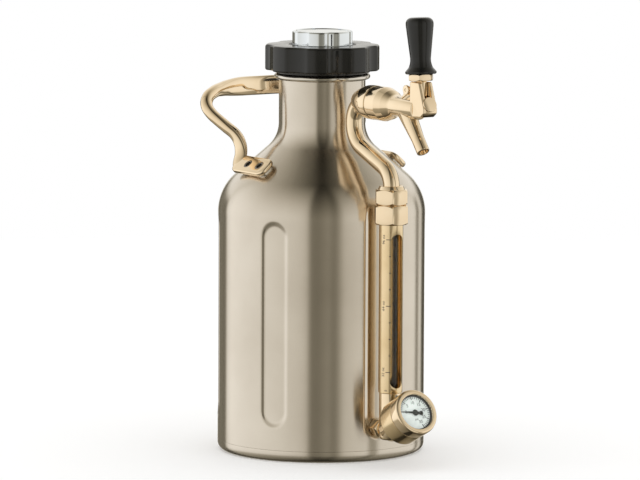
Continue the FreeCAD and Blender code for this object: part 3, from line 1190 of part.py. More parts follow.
def case_space():
    """The free space inside the gauge's case, up its own Z axis."""
    floor = GAUGE_BACK + GAUGE_WALL
    cavity = GAUGE_WINDOW_R - DIAL_PLATE_LEDGE
    space = Outline(0, floor).to(cavity - 2 * GAUGE_WALL, floor).to(cavity, floor + 2 * GAUGE_WALL)
    return space.to(cavity, LEDGE).to(0, LEDGE).turned()


# ---- carry handle -------------------------------------------------------------------------------------
def shoulder_frame():
    """A point on the shoulder under the left foot, with the outward normal and the down-slope direction."""
    cos_t, sin_t = at_angle(SHOULDER_TURN)
    flank_r = BODY_R - SHOULDER_R + SHOULDER_R * cos_t
    flank_z = SHOULDER_Z + SHOULDER_R * sin_t
    surface = Vector(-FOOT_R, 0, flank_z + (flank_r - FOOT_R) * cos_t / sin_t)
    return surface, Vector(-cos_t, 0, sin_t), Vector(-sin_t, 0, -cos_t)


def foot_block(half_w, front_y, rear_y, low, high, corner):
    """A block on the left shoulder from low to high along its normal, with rounded ends."""
    surface, normal, down = shoulder_frame()
    corners = []
    for across, y in ((-1, front_y), (1, front_y), (1, rear_y), (-1, rear_y)):
        corners.append(surface + normal * low + down * (across * half_w) + Vector(0, y, 0))
    block = Part.Face(Part.makePolygon(corners + corners[:1])).extrude(normal * (high - low))
    upright = [edge for edge in block.Edges
               if abs(edge.tangentAt(edge.FirstParameter).dot(normal)) > 0.99]
    return block.makeFillet(corner, upright)


def screw_places():
    surface, normal, _ = shoulder_frame()
    return [surface + Vector(0, SCREW_Y + side * SCREW_PITCH / 2, 0) for side in (-1, 1)], normal


def mirrored(shape):
    return shape.mirror(ORIGIN, X_AXIS)


def handle_pads():
    """Welded pads under the feet, each shaped to the shoulder and drilled for two screws."""
    pad = foot_block(PAD_W / 2, SCREW_Y - PAD_L / 2, SCREW_Y + PAD_L / 2, -4, PAD_T, PAD_W / 3)
    pad = pad.cut(bottle(0, NECK_R, 0, NECK_TOP_Z, BASE_EDGE_R))
    places, normal = screw_places()
    pad = pad.cut([rod(HANDLE_SCREW_R, place - normal, normal, PAD_T + 2) for place in places])
    return Part.makeCompound([pad, mirrored(pad)])


def handle_screws():
    """Four button-head screws with round drive sockets."""
    places, normal = screw_places()
    head_low = PAD_T + PLATE_T - HANDLE_HEAD_T
    screws = []
    for place in places:
        head = rod(HANDLE_HEAD_R, place + normal * head_low, normal, HANDLE_HEAD_T - 0.3)
        shank_low = max(PAD_T + PLATE_T - HANDLE_SCREW_L, 0.4)
        shank = rod(HANDLE_SCREW_R, place + normal * shank_low, normal, head_low - shank_low)
        socket = rod(HANDLE_SOCKET_R, place + normal * (head_low + 0.5), normal, HANDLE_HEAD_T)
        screws.append(head.fuse(shank).cut(socket).removeSplitter())
    return Part.makeCompound(screws + [mirrored(screw) for screw in screws])


def strap_line():
    """The strap's centreline from the left foot round the back to the right foot."""
    surface, normal, _ = shoulder_frame()
    foot = surface + normal * (PAD_T + PLATE_T / 2)
    left = [foot + Vector(0, 14, 0), foot + Vector(0, 22, 0)]
    left += [Vector(x, y, BACK_Z + rise) for x, y, rise in LEG_POINTS]
    right = [Vector(-point.x, point.y, point.z) for point in reversed(left)]
    line = Part.BSplineCurve()
    line.interpolate(left + [Vector(0, BACK_Y, BACK_Z)] + right)
    return line, normal


def ease(value, start, end):
    """0 before start, 1 after end and a smooth rise between."""
    share = min(max((value - start) / (end - start), 0), 1)
    return share * share * (3 - 2 * share)


def strap_section(centre, upright, across, half_tall, half_thick):
    """A closed rounded section, the same way round at every station."""
    points = []
    for k in range(12):
        cos_k, sin_k = at_angle(30 * k)
        lift = math.copysign(abs(cos_k) ** 0.85, cos_k) * half_tall
        shift = math.copysign(abs(sin_k) ** 0.85, sin_k) * half_thick
        points.append(centre + upright * lift + across * shift)
    return points


def section_wire(points):
    curve = Part.BSplineCurve()
    curve.interpolate(points, PeriodicFlag=True)
    return Part.Wire(curve.toShape())


def strap_sections():
    """Sections from the left foot to the middle of the back: flat at the foot, round in the leg, tall behind."""
    line, upright = strap_line()
    middle = (line.FirstParameter + line.LastParameter) / 2
    frames = []
    for k in range(STRAP_STATIONS + 1):
        place = line.FirstParameter + (middle - line.FirstParameter) * k / STRAP_STATIONS
        tangent = line.tangent(place)[0]
        upright = (upright - tangent * upright.dot(tangent)).normalize()
        frames.append((line.value(place), tangent, upright))
    _, tangent, upright = frames[-1]
    twist = math.degrees(math.atan2(tangent.dot(upright.cross(Z_AXIS)), upright.dot(Z_AXIS)))
    sections = []
    for k, (point, tangent, upright) in enumerate(frames):
        share = k / STRAP_STATIONS
        turned = FreeCAD.Rotation(tangent, twist * ease(share, 0.2, 0.75)).multVec(upright)
        leg = ease(share, 0.03, 0.25)
        back = ease(share, 0.55, 0.9)
        tall = (PLATE_T - 0.2) * (1 - leg) + LEG_TALL * leg
        thick = 0.7 * PLATE_W * (1 - leg) + LEG_THICK * leg
        tall += (BACK_TALL - tall) * back
        thick += (BACK_THICK - thick) * back
        sections.append(strap_section(point, turned, tangent.cross(turned), tall / 2, thick / 2))
    return sections


def carry_handle():
    """The wishbone handle: two screwed feet joined by one strap around the back of the neck."""
    left = strap_sections()
    right = [[Vector(-point.x, point.y, point.z) for point in points] for points in left[-2::-1]]
    strap = Part.makeLoft([section_wire(points) for points in left + right], True, False)
    plate = foot_block(PLATE_W / 2, PLATE_FRONT_Y, PLATE_REAR_Y, PAD_T, PAD_T + PLATE_T, PLATE_W / 2 - 2)
    places, normal = screw_places()
    holes = []
    for place in places:
        holes.append(rod(HANDLE_SCREW_R, place, normal, 3 * PLATE_T))
        holes.append(rod(HANDLE_HEAD_R, place + normal * (PAD_T + PLATE_T - HANDLE_HEAD_T), normal, PLATE_T))
    handle = strap.fuse([plate, mirrored(plate)])
    return handle.cut(holes + [mirrored(hole) for hole in holes])


PARTS = {
    "outer_shell": outer_shell, "shoulder_shell": shoulder_shell, "neck_shell": neck_shell,
    "base_cover": base_cover, "vacuum_seal_cap": seal_cap, "inner_floor": inner_floor, "inner_vessel": inner_vessel,
    "inner_shoulder": inner_shoulder, "inner_neck": inner_neck, "mouth_ring": mouth_ring,
    "outlet_boss": outlet_boss,
    "cap_shell": cap_shell, "pressure_dial": pressure_dial, "adjusting_screw": adjusting_screw,
    "cap_gasket": gasket, "regulator_body": regulator_body, "piercing_lance": piercing_lance,
    "valve_poppet": valve_poppet, "relief_valve": relief_valve, "diaphragm": diaphragm,
    "backing_plate": backing_plate, "regulator_bonnet": regulator_bonnet, "regulator_spring": regulator_spring,
    "spring_nut": spring_nut, "cartridge_sleeve": cartridge_sleeve, "gas_cartridge": gas_cartridge,
    "outlet_nut": outlet_nut, "outlet_seal": outlet_seal, "manifold_body": manifold_body,
    "guard_screw": guard_screw, "sight_guard": sight_guard, "sight_glass": sight_glass,
    "sight_seals": sight_seals, "coupling_body": coupling_body, "union_nut": union_nut,
    "riser_tube": riser_tube, "tap_elbow": tap_elbow, "tap_body": tap_body, "front_plug": front_plug,
    "valve_plunger": valve_plunger, "valve_seal": valve_seal, "tap_lever": tap_lever, "lever_pin": lever_pin,
    "lever_ferrule": lever_ferrule, "tap_grip": tap_grip, "lock_knob": lock_knob, "gauge_case": gauge_case,
    "gauge_bezel": gauge_bezel, "gauge_lens": gauge_lens, "gauge_dial": gauge_dial,
    "gauge_needle": gauge_needle, "gauge_movement": gauge_movement, "bourdon_tube": bourdon_tube,
    "handle_pads": handle_pads, "handle_screws": handle_screws, "carry_handle": carry_handle,
}

os.makedirs("parts", exist_ok=True)
for name, make in PARTS.items():
    shape = make()
    solids = shape.Solids
    print(f"{name}: {len(solids)} solid(s), {shape.Volume / 1000:.2f} cm3, valid {shape.isValid()}")
    result = solids[0] if len(solids) == 1 else Part.makeCompound(solids)
    result.exportStep(f"parts/{name}.step")
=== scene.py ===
# %% [markdown]
# # A mini keg beer dispenser
# A double-walled steel bottle with a screw cap, a sight gauge and a brass tap line in front, and a
# wishbone carry handle behind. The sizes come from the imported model, which is loaded as a fixed frame;
# the pieces made here stand for its nodes and move with its bodies. All lengths below are millimetres,
# brought to metres in one place, and s is a distance in front of the bottle's axis, towards the tap.

# %% The frame
import math

import bmesh
import bpy
from mathutils import Matrix, Vector


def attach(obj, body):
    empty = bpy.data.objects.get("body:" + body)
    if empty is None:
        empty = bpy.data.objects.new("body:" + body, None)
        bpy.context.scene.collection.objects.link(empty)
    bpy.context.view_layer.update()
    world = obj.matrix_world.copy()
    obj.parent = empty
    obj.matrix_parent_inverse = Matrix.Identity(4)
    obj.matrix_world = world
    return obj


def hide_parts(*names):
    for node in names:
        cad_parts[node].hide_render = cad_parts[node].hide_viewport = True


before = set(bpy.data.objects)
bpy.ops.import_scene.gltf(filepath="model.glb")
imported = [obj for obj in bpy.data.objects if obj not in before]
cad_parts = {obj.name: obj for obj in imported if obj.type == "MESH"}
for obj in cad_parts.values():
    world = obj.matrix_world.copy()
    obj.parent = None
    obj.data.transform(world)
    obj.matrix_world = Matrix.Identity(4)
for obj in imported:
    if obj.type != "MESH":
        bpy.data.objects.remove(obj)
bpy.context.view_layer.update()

MM = 0.001
UP = Vector((0, 0, 1))
RIGHT = Vector((1, 0, 0))
FRONT = Vector((0, -1, 0))
print("nodes in the frame:", len(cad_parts))

# %% [markdown]
# ## Small tools
# Nearly every piece here is either turned (a profile spun round an axis), drawn along a path (a section
# extruded step by step) or cut from a bar. A few helpers say that once, so that each piece reads as its
# own sizes. Rounding is part of the profile, since polished metal shows every edge it lacks.


# %% Places and profiles
def at(x, s, z):
    """A place in the frame from millimetres, s being the distance in front of the axis."""
    return Vector((x, -s, z)) * MM


def rounded(corners, closed=False, steps=6):
    """Points (a, b), or (a, b, radius) where the corner becomes an arc."""
    points = []
    count = len(corners)
    for k, corner in enumerate(corners):
        here = Vector(corner[:2])
        if len(corner) < 3 or (not closed and k in (0, count - 1)):
            points.append(here)
            continue
        back = (Vector(corners[k - 1][:2]) - here).normalized()
        ahead = (Vector(corners[(k + 1) % count][:2]) - here).normalized()
        half = back.angle(ahead) / 2
        centre = here + (back + ahead).normalized() * (corner[2] / math.sin(half))
        start = here + back * (corner[2] / math.tan(half)) - centre
        end = here + ahead * (corner[2] / math.tan(half)) - centre
        sweep = start.angle_signed(end)
        for step in range(steps + 1):
            turned = start.copy()
            turned.rotate(Matrix.Rotation(-sweep * step / steps, 2))
            points.append(centre + turned)
    return points


def aim(base, axis):
    """The matrix that stands a piece built up the Z axis on base, pointing along axis."""
    return Matrix.Translation(base) @ UP.rotation_difference(axis).to_matrix().to_4x4()


# %% Making an object
def finish(bm, name, material, body, *nodes, crease=32, slot=None):
    """Turns the bmesh into an object that rides on a body and stands for the given CAD nodes."""
    mesh = bpy.data.meshes.new(name)
    bm.to_mesh(mesh)
    bm.free()
    mesh.polygons.foreach_set("use_smooth", [True] * len(mesh.polygons))
    mesh.set_sharp_from_angle(angle=math.radians(crease))
    mesh.materials.append(material)
    obj = bpy.data.objects.new(name, mesh)
    bpy.context.scene.collection.objects.link(obj)
    if body:
        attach(obj, body)
    if nodes:
        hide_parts(*nodes)
    print(f"{name}: {len(mesh.polygons)} faces")
    return obj


def clean(bm):
    """Merges doubled points, drops empty faces and turns the rest outwards."""
    bmesh.ops.remove_doubles(bm, verts=bm.verts, dist=1e-7)
    bmesh.ops.dissolve_degenerate(bm, edges=bm.edges, dist=1e-8)
    bmesh.ops.recalc_face_normals(bm, faces=bm.faces)
    return bm


def join(*parts):
    """One bmesh from several closed ones."""
    whole = bmesh.new()
    for part in parts:
        scratch = bpy.data.meshes.new("scratch")
        part.to_mesh(scratch)
        part.free()
        whole.from_mesh(scratch)
        bpy.data.meshes.remove(scratch)
    return whole


# %% Extruding and rounding
def pulled(bm, faces, way):
    """Extrudes faces along a vector in millimetres."""
    grown = bmesh.ops.extrude_face_region(bm, geom=faces)["geom"]
    verts = [item for item in grown if isinstance(item, bmesh.types.BMVert)]
    bmesh.ops.translate(bm, vec=way * MM, verts=verts)
    return bm


def next_ring(bm, ring):
    """Extrudes a ring of edges on the spot. Gives its new points and the new ring."""
    grown = bmesh.ops.extrude_edge_only(bm, edges=ring)["geom"]
    verts = [item for item in grown if isinstance(item, bmesh.types.BMVert)]
    edges = [item for item in grown if isinstance(item, bmesh.types.BMEdge)]
    return verts, [edge for edge in edges if edge.verts[0] in verts and edge.verts[1] in verts]


def prism(points, way):
    """A closed outline of places, extruded along a vector in millimetres."""
    bm = bmesh.new()
    face = bm.faces.new([bm.verts.new(point) for point in points])
    return clean(pulled(bm, [face], way))


def round_edges(bm, edges, width, segments):
    bmesh.ops.bevel(bm, geom=edges, offset=width * MM, offset_type="OFFSET", affect="EDGES",
                    segments=segments, profile=0.5, material=-1, clamp_overlap=True)
    return bm


def softened(bm, width, segments=2, angle=30):
    """Rounds every edge sharper than the angle."""
    limit = math.radians(angle)
    sharp = [edge for edge in bm.edges if edge.is_manifold and edge.calc_face_angle(0) > limit]
    return round_edges(bm, sharp, width, segments)


def soft_min(first, second, blend):
    """The lesser of two values, eased where they are within the blend of each other."""
    mix = max(blend - abs(first - second), 0) / blend
    return min(first, second) - mix * mix * blend / 4


# %% Turned, drawn and sawn shapes
def turned(corners, base=Vector(), axis=UP, steps=96, arc=6):
    """Spins a profile of (radius, height) about the axis. Open profiles start and end on the axis."""
    bm = bmesh.new()
    closed = corners[0][0] > 0
    points = rounded(corners, closed, arc)
    verts = [bm.verts.new((point.x * MM, 0, point.y * MM)) for point in points]
    pairs = zip(verts, verts[1:] + verts[:1] if closed else verts[1:])
    edges = [bm.edges.new(pair) for pair in pairs]
    bmesh.ops.spin(bm, geom=verts + edges, cent=(0, 0, 0), axis=UP, angle=math.tau, steps=steps,
                   use_merge=True)
    clean(bm)
    bmesh.ops.transform(bm, matrix=aim(base, axis), verts=bm.verts)
    return bm


def station(place, ahead, upright, tall, thick):
    """The matrix that puts a unit section at a place on a path, with its half height and half width."""
    across = ahead.cross(upright).normalized()
    turn = Matrix((across, upright.normalized(), ahead)).transposed().to_4x4()
    return Matrix.Translation(place) @ turn @ Matrix.Diagonal((thick * MM, tall * MM, 1, 1))


def drawn(stations, sides=32, squareness=1.0, open_end=False):
    """Carries a closed section along a list of station matrices and closes its ends."""
    bm = bmesh.new()
    bmesh.ops.create_circle(bm, segments=sides, radius=1)
    for vert in bm.verts:
        vert.co.x = math.copysign(abs(vert.co.x) ** squareness, vert.co.x)
        vert.co.y = math.copysign(abs(vert.co.y) ** squareness, vert.co.y)
    bmesh.ops.transform(bm, matrix=stations[0], verts=bm.verts)
    rim = list(bm.edges)
    ends = list(rim)
    for before, after in zip(stations, stations[1:]):
        verts, rim = next_ring(bm, rim)
        bmesh.ops.transform(bm, matrix=after @ before.inverted(), verts=verts)
    bmesh.ops.holes_fill(bm, edges=ends if open_end else ends + rim, sides=0)
    return clean(bm)


def along(corners, radius, arc=14):
    """Stations of a round bar whose axis goes through (s, z, bend radius) corners beside the bottle."""
    places = [at(0, point.x, point.y) for point in rounded(corners, False, arc)]
    stations = []
    for k, place in enumerate(places):
        ahead = (places[min(k + 1, len(places) - 1)] - places[max(k - 1, 0)]).normalized()
        stations.append(station(place, ahead, RIGHT, radius, radius))
    return stations


def slab(corners, width, edge):
    """A plate cut to (s, z) corners in the plane of the tap, with rounded edges."""
    places = [at(-width / 2, point.x, point.y) for point in rounded(corners, True, 5)]
    return softened(prism(places, RIGHT * width), edge, 3)


def block(low, high, edge=0):
    """A bar between two opposite corners."""
    bm = bmesh.new()
    size = [abs(part) for part in high - low]
    place = Matrix.Translation((low + high) / 2)
    bmesh.ops.create_cube(bm, size=1, matrix=place @ Matrix.Diagonal((*size, 1)))
    return softened(bm, edge) if edge else bm


# %% Cutting one shape by another
def loose(bm, name):
    """A plain object for a Boolean, which is removed after it."""
    mesh = bpy.data.meshes.new(name)
    bm.to_mesh(mesh)
    bm.free()
    obj = bpy.data.objects.new(name, mesh)
    bpy.context.scene.collection.objects.link(obj)
    return obj


def carved(bm, tools, operation="DIFFERENCE"):
    """The shape after a Boolean with each tool, as a new bmesh."""
    work = loose(bm, "work")
    helpers = []
    for tool in tools:
        helpers.append(loose(tool, "tool"))
        cut = work.modifiers.new("cut", "BOOLEAN")
        cut.operation = operation
        cut.solver = "EXACT"
        cut.object = helpers[-1]
    shaped = work.evaluated_get(bpy.context.evaluated_depsgraph_get())
    result = bmesh.new()
    result.from_mesh(shaped.to_mesh())
    for obj in [work] + helpers:
        mesh = obj.data
        bpy.data.objects.remove(obj)
        bpy.data.meshes.remove(mesh)
    bmesh.ops.remove_doubles(result, verts=result.verts, dist=2e-6)
    return result


def hexagon(across, low, high, chamfer, place, axis=UP, turn=0.0, bore=0.0):
    """A hexagonal nut up the Z axis, corner to corner across, its corners turned off at both ends."""
    bm = bmesh.new()
    # A circle's first corner lies on Y, and a nut's lies on X.
    stance = Matrix.Translation(UP * low * MM) @ Matrix.Rotation(math.radians(turn + 30), 4, "Z")
    bmesh.ops.create_circle(bm, cap_ends=True, segments=6, radius=across / 2 * MM, matrix=stance)
    clean(pulled(bm, bm.faces[:], UP * (high - low)))
    flat = across / 2 * math.cos(math.radians(30)) - 0.2
    corner = across / 2 + 0.01
    cone = turned([(0, low), (flat, low), (corner, low + chamfer), (corner, high - chamfer), (flat, high),
                   (0, high)], steps=72)
    bm = carved(bm, [cone], "INTERSECT")
    if bore:
        drill = turned([(0, low - 1), (bore, low - 1), (bore, high + 1), (0, high + 1)], steps=72)
        bm = carved(bm, [drill])
    softened(bm, 0.22, 2, 20)
    bmesh.ops.transform(bm, matrix=aim(place, axis), verts=bm.verts)
    return bm


def lobed(radius, scallop, depth, count, phase, levels, blend, closed=False, steps=360):
    """A knob whose round rim dips at each scallop, raised level by level.

    A level is (share of the rim's outline, radius added to it, height): share 1 follows the scallops.
    A closed list of levels comes back to its start and leaves a hole through the middle.
    """
    middle = radius + scallop - depth

    def rim(angle):
        off = (math.degrees(angle) - phase + 180 / count) % (360 / count) - 180 / count
        reach = scallop ** 2 - (middle * math.sin(math.radians(off))) ** 2
        dip = middle * math.cos(math.radians(off)) - math.sqrt(reach) if reach > 0 else 2 * radius
        return soft_min(dip, radius, blend)

    bm = bmesh.new()
    bmesh.ops.create_circle(bm, segments=steps, radius=1)
    lowest = list(bm.edges)
    verts, ring = list(bm.verts), lowest
    for number, (share, extra, height) in enumerate(levels):
        if number:
            verts, ring = next_ring(bm, ring)
        for vert in verts:
            angle = math.atan2(vert.co.y, vert.co.x)
            size = (share * rim(angle) + extra) * MM
            vert.co = (size * math.cos(angle), size * math.sin(angle), height * MM)
    if closed:
        bmesh.ops.bridge_loops(bm, edges=lowest + ring)
    else:
        bmesh.ops.holes_fill(bm, edges=bm.edges, sides=0)
    return clean(bm)


# %% [markdown]
# ## Finishes
# Four metals carry the look: steel brushed round the bottle, polished brass on the tap line and handle,
# satin brass on the sight gauge, and chrome on the dial. Real brushed or polished metal is never even, so
# two node groups make the shared effects, the fine grain left by the belt and the faint clouding from
# handling, and each finish mixes them in at its own strength.


# %% Node groups
def group(name, inputs, outputs):
    """An empty node group with its sockets, and its input and output nodes."""
    tree = bpy.data.node_groups.new(name, "ShaderNodeTree")
    for kind, label, value in inputs:
        socket = tree.interface.new_socket(label, in_out="INPUT", socket_type=kind)
        if value is not None:
            socket.default_value = value
    for kind, label in outputs:
        tree.interface.new_socket(label, in_out="OUTPUT", socket_type=kind)
    return tree, tree.nodes.new("NodeGroupInput"), tree.nodes.new("NodeGroupOutput")


def feed(socket, value):
    """Sets an input, or links it where the value is another node's output."""
    if isinstance(value, bpy.types.NodeSocket):
        socket.id_data.links.new(value, socket)
    else:
        socket.default_value = value


def node(tree, kind, **settings):
    """A node with its settings and inputs, the inputs by their names with _ for a space."""
    made = tree.nodes.new(kind)
    for key, value in settings.items():
        if hasattr(made, key):
            setattr(made, key, value)
        else:
            feed(made.inputs[key.replace("_", " ")], value)
    return made


def math_node(tree, operation, first, second):
    made = node(tree, "ShaderNodeMath", operation=operation)
    feed(made.inputs[0], first)
    feed(made.inputs[1], second)
    return made.outputs[0]


def color_mix(tree, factor, first, second):
    """One colour at factor 0 and the other at 1."""
    made = node(tree, "ShaderNodeMix", data_type="RGBA", Factor=factor)
    feed(made.inputs[6], first)
    feed(made.inputs[7], second)
    return made.outputs[2]


def brushed_grain():
    """Fine parallel scratches: noise squeezed along one direction by the Stretch vector."""
    tree, inside, outside = group("brushed_grain", [
        ("NodeSocketVector", "Vector", None), ("NodeSocketVector", "Stretch", (40, 40, 2500)),
        ("NodeSocketFloat", "Depth", 0.3), ("NodeSocketFloat", "Roughness", 0.3),
        ("NodeSocketFloat", "Spread", 0.08)],
        [("NodeSocketFloat", "Roughness"), ("NodeSocketFloat", "Height")])
    scaled = node(tree, "ShaderNodeVectorMath", operation="MULTIPLY")
    feed(scaled.inputs[0], inside.outputs["Vector"])
    feed(scaled.inputs[1], inside.outputs["Stretch"])
    fine = node(tree, "ShaderNodeTexNoise", Vector=scaled.outputs[0], Scale=1.0, Detail=3.0, Roughness=0.65)
    swing = math_node(tree, "SUBTRACT", fine.outputs["Fac"], 0.5)
    spread = math_node(tree, "MULTIPLY", swing, inside.outputs["Spread"])
    feed(outside.inputs["Roughness"], math_node(tree, "ADD", inside.outputs["Roughness"], spread))
    relief = math_node(tree, "MULTIPLY", fine.outputs["Fac"], inside.outputs["Depth"])
    feed(outside.inputs["Height"], relief)
    return tree


def handling():
    """Clouded patches a few centimetres wide that dull and darken a finish a little."""
    tree, inside, outside = group("handling", [
        ("NodeSocketVector", "Vector", None), ("NodeSocketFloat", "Size", 30.0),
        ("NodeSocketColor", "Color", (0.8, 0.8, 0.8, 1)), ("NodeSocketColor", "Dulled", (0.7, 0.7, 0.7, 1)),
        ("NodeSocketFloat", "Roughness", 0.2), ("NodeSocketFloat", "Haze", 0.05)],
        [("NodeSocketColor", "Color"), ("NodeSocketFloat", "Roughness")])
    cloud = node(tree, "ShaderNodeTexNoise", Vector=inside.outputs["Vector"], Scale=inside.outputs["Size"],
                 Detail=4.0, Roughness=0.55)
    share = node(tree, "ShaderNodeMapRange", Value=cloud.outputs["Fac"], From_Min=0.35,
                 From_Max=0.7).outputs[0]
    mixed = color_mix(tree, share, inside.outputs["Color"], inside.outputs["Dulled"])
    feed(outside.inputs["Color"], mixed)
    haze = math_node(tree, "MULTIPLY", share, inside.outputs["Haze"])
    feed(outside.inputs["Roughness"], math_node(tree, "ADD", inside.outputs["Roughness"], haze))
    return tree


GRAIN = brushed_grain()
HANDLING = handling()
print("node groups:", GRAIN.name, HANDLING.name)


# %% Materials
def new_material(name):
    """A material, its tree, its shader and the object coordinates."""
    material = bpy.data.materials.new(name)
    material.use_nodes = True
    tree = material.node_tree
    place = tree.nodes.new("ShaderNodeTexCoord").outputs["Object"]
    return material, tree, tree.nodes["Principled BSDF"], place


def clouded(tree, shader, vector, color, dulled, roughness, haze, size):
    """Gives the shader its clouded colour and roughness."""
    clouds = node(tree, "ShaderNodeGroup", node_tree=HANDLING, Vector=vector, Size=size, Color=(*color, 1),
                  Dulled=(*dulled, 1), Roughness=roughness, Haze=haze)
    feed(shader.inputs["Base Color"], clouds.outputs["Color"])
    feed(shader.inputs["Roughness"], clouds.outputs["Roughness"])
    return clouds.outputs["Roughness"]


def bumped(tree, shader, height, strength):
    """Gives the shader a relief of a fifth of a millimetre at full strength."""
    relief = node(tree, "ShaderNodeBump", Height=height, Strength=strength, Distance=0.0002)
    feed(shader.inputs["Normal"], relief.outputs["Normal"])


def see_through(tree, ray, shader):
    """Lets a kind of ray pass what it meets, which every other ray sees."""
    mixed = tree.nodes.new("ShaderNodeMixShader")
    clear = tree.nodes.new("ShaderNodeBsdfTransparent")
    for socket, value in zip(mixed.inputs, (ray, shader, clear.outputs[0])):
        feed(socket, value)
    feed(tree.nodes["Material Output"].inputs["Surface"], mixed.outputs[0])


def metal(name, color, dulled, roughness, haze, size=30.0, stretch=None, depth=0.3, spread=0.08, bump=0.02,
          anisotropic=0.0):
    """A metal finish. A stretch vector gives it a brushed grain, else it is polished."""
    material, tree, shader, vector = new_material(name)
    shader.inputs["Metallic"].default_value = 1.0
    haze_out = clouded(tree, shader, vector, color, dulled, roughness, haze, size)
    if stretch is None:
        return material
    grain = node(tree, "ShaderNodeGroup", node_tree=GRAIN, Vector=vector, Stretch=stretch, Depth=depth,
                 Spread=spread, Roughness=haze_out)
    feed(shader.inputs["Roughness"], grain.outputs["Roughness"])
    bumped(tree, shader, grain.outputs["Height"], bump)
    if anisotropic:
        shader.inputs["Anisotropic"].default_value = anisotropic
        shader.inputs["Anisotropic Rotation"].default_value = 0.25  # a quarter turn, across the brushing
        round_axis = node(tree, "ShaderNodeTangent", direction_type="RADIAL", axis="Z")
        feed(shader.inputs["Tangent"], round_axis.outputs[0])
    return material


steel = metal("steel", (0.73, 0.668, 0.588), (0.68, 0.616, 0.536), 0.20, 0.04, size=14.0,
              stretch=(60, 60, 2600), depth=0.6, spread=0.06, bump=0.06, anisotropic=0.85)
bead_steel = metal("bead_steel", (0.74, 0.70, 0.64), (0.68, 0.63, 0.56), 0.13, 0.05)
steel_inner = metal("steel_inner", (0.66, 0.64, 0.60), (0.60, 0.58, 0.54), 0.30, 0.08,
                    stretch=(60, 60, 1800), depth=0.5, bump=0.1)
gold = metal("gold", (0.95, 0.785, 0.57), (0.91, 0.73, 0.51), 0.05, 0.03, size=45.0)
satin_brass = metal("satin_brass", (0.88, 0.70, 0.45), (0.82, 0.63, 0.38), 0.17, 0.05, size=40.0,
                    stretch=(300, 300, 2500), depth=0.5, bump=0.06)
gauge_brass = metal("gauge_brass", (0.88, 0.70, 0.45), (0.84, 0.65, 0.40), 0.15, 0.05, size=40.0,
                    stretch=(1200, 1200, 1200), depth=0.4, bump=0.05)
chrome = metal("chrome", (0.82, 0.86, 0.90), (0.74, 0.78, 0.82), 0.05, 0.03)
bright_steel = metal("spring_steel", (0.62, 0.60, 0.57), (0.52, 0.50, 0.47), 0.16, 0.08)
# Darkened steel for the handle's screws: its colour is painted shade, standing for the shade in their
# sockets.
socket_shade_steel = metal("socket_shade_steel", (0.30, 0.28, 0.25), (0.22, 0.20, 0.18), 0.14, 0.06)
aluminium = metal("aluminium", (0.76, 0.76, 0.75), (0.68, 0.68, 0.67), 0.30, 0.08,
                  stretch=(80, 80, 2200), depth=0.5, bump=0.1)


def plastic(name, color, roughness, bump=0.06, level=0.5):
    """Moulded plastic or rubber with a fine texture from its mould."""
    material, tree, shader, vector = new_material(name)
    clouded(tree, shader, vector, color, [1.35 * part + 0.002 for part in color], roughness, 0.08, 60.0)
    pores = node(tree, "ShaderNodeTexNoise", Vector=vector, Scale=900.0, Detail=2.0)
    bumped(tree, shader, pores.outputs["Fac"], bump)
    shader.inputs["Specular IOR Level"].default_value = level
    return material


cap_black = plastic("cap_black", (0.005, 0.005, 0.0042), 0.11, bump=0.03)
grip_black = plastic("grip_black", (0.006, 0.006, 0.0052), 0.14, bump=0.04, level=0.45)
rubber = plastic("rubber", (0.03, 0.03, 0.03), 0.6)
dial_white = plastic("dial_white", (0.80, 0.86, 0.82), 0.35, bump=0.01)
print_black = plastic("print_black", (0.02, 0.02, 0.02), 0.5)
needle_black = plastic("needle_black", (0.02, 0.025, 0.022), 0.3)


def clear_glass(name, tint, roughness):
    """Clear glass with a faint tint."""
    material, tree, shader, vector = new_material(name)
    clouded(tree, shader, vector, tint, [0.97 * part for part in tint], roughness, 0.02, 80.0)
    shader.inputs["Transmission Weight"].default_value = 1.0
    shader.inputs["IOR"].default_value = 1.47
    # Light passes a thin clear wall nearly unbent, so all but the first rays go straight through.
    rays = tree.nodes.new("ShaderNodeLightPath")
    through = math_node(tree, "MAXIMUM", rays.outputs["Is Shadow Ray"], rays.outputs["Is Diffuse Ray"])
    through = math_node(tree, "MAXIMUM", through, rays.outputs["Is Glossy Ray"])
    see_through(tree, through, shader.outputs[0])
    return material


glass = clear_glass("glass", (0.94, 0.97, 0.95), 0.01)
lens_glass = clear_glass("lens_glass", (0.97, 0.99, 0.98), 0.005)
print("materials:", len(bpy.data.materials))

# %% [markdown]
# ## Camera, light and floor
# Metal shows its surroundings, so the studio matters as much as the finish. For reflections the world is a
# ring of wide soft boxes with dark gaps: one behind the camera, which draws the dark band down the middle
# of the bottle, and two thin ones that edge it. For everything else the world is plain and even.

# %% Camera
CAMERA_TURN = math.radians(-33.0)
CAMERA_PLACE = Vector((-2.480, -3.819, 0.705))
AIM_HEIGHT = 0.1635
AIM_SIDE = -0.00116
ROLL = 0.0045
LENS = 331.7

side = Vector((math.cos(CAMERA_TURN), math.sin(CAMERA_TURN), 0))
look = (side * AIM_SIDE + UP * AIM_HEIGHT - CAMERA_PLACE).normalized()
camera_data = bpy.data.cameras.new("camera")
camera_data.lens = LENS
camera_data.sensor_width = 36.0
camera_data.clip_end = 50.0
camera = bpy.data.objects.new("camera", camera_data)
across = look.cross(UP).normalized()
turn = Matrix((across, across.cross(look), -look)).transposed().to_4x4()
camera.matrix_world = Matrix.Translation(CAMERA_PLACE) @ turn @ Matrix.Rotation(ROLL, 4, "Z")
bpy.context.scene.collection.objects.link(camera)
bpy.context.scene.camera = camera
bpy.context.scene.view_settings.view_transform = "Standard"
print("camera lens:", LENS)

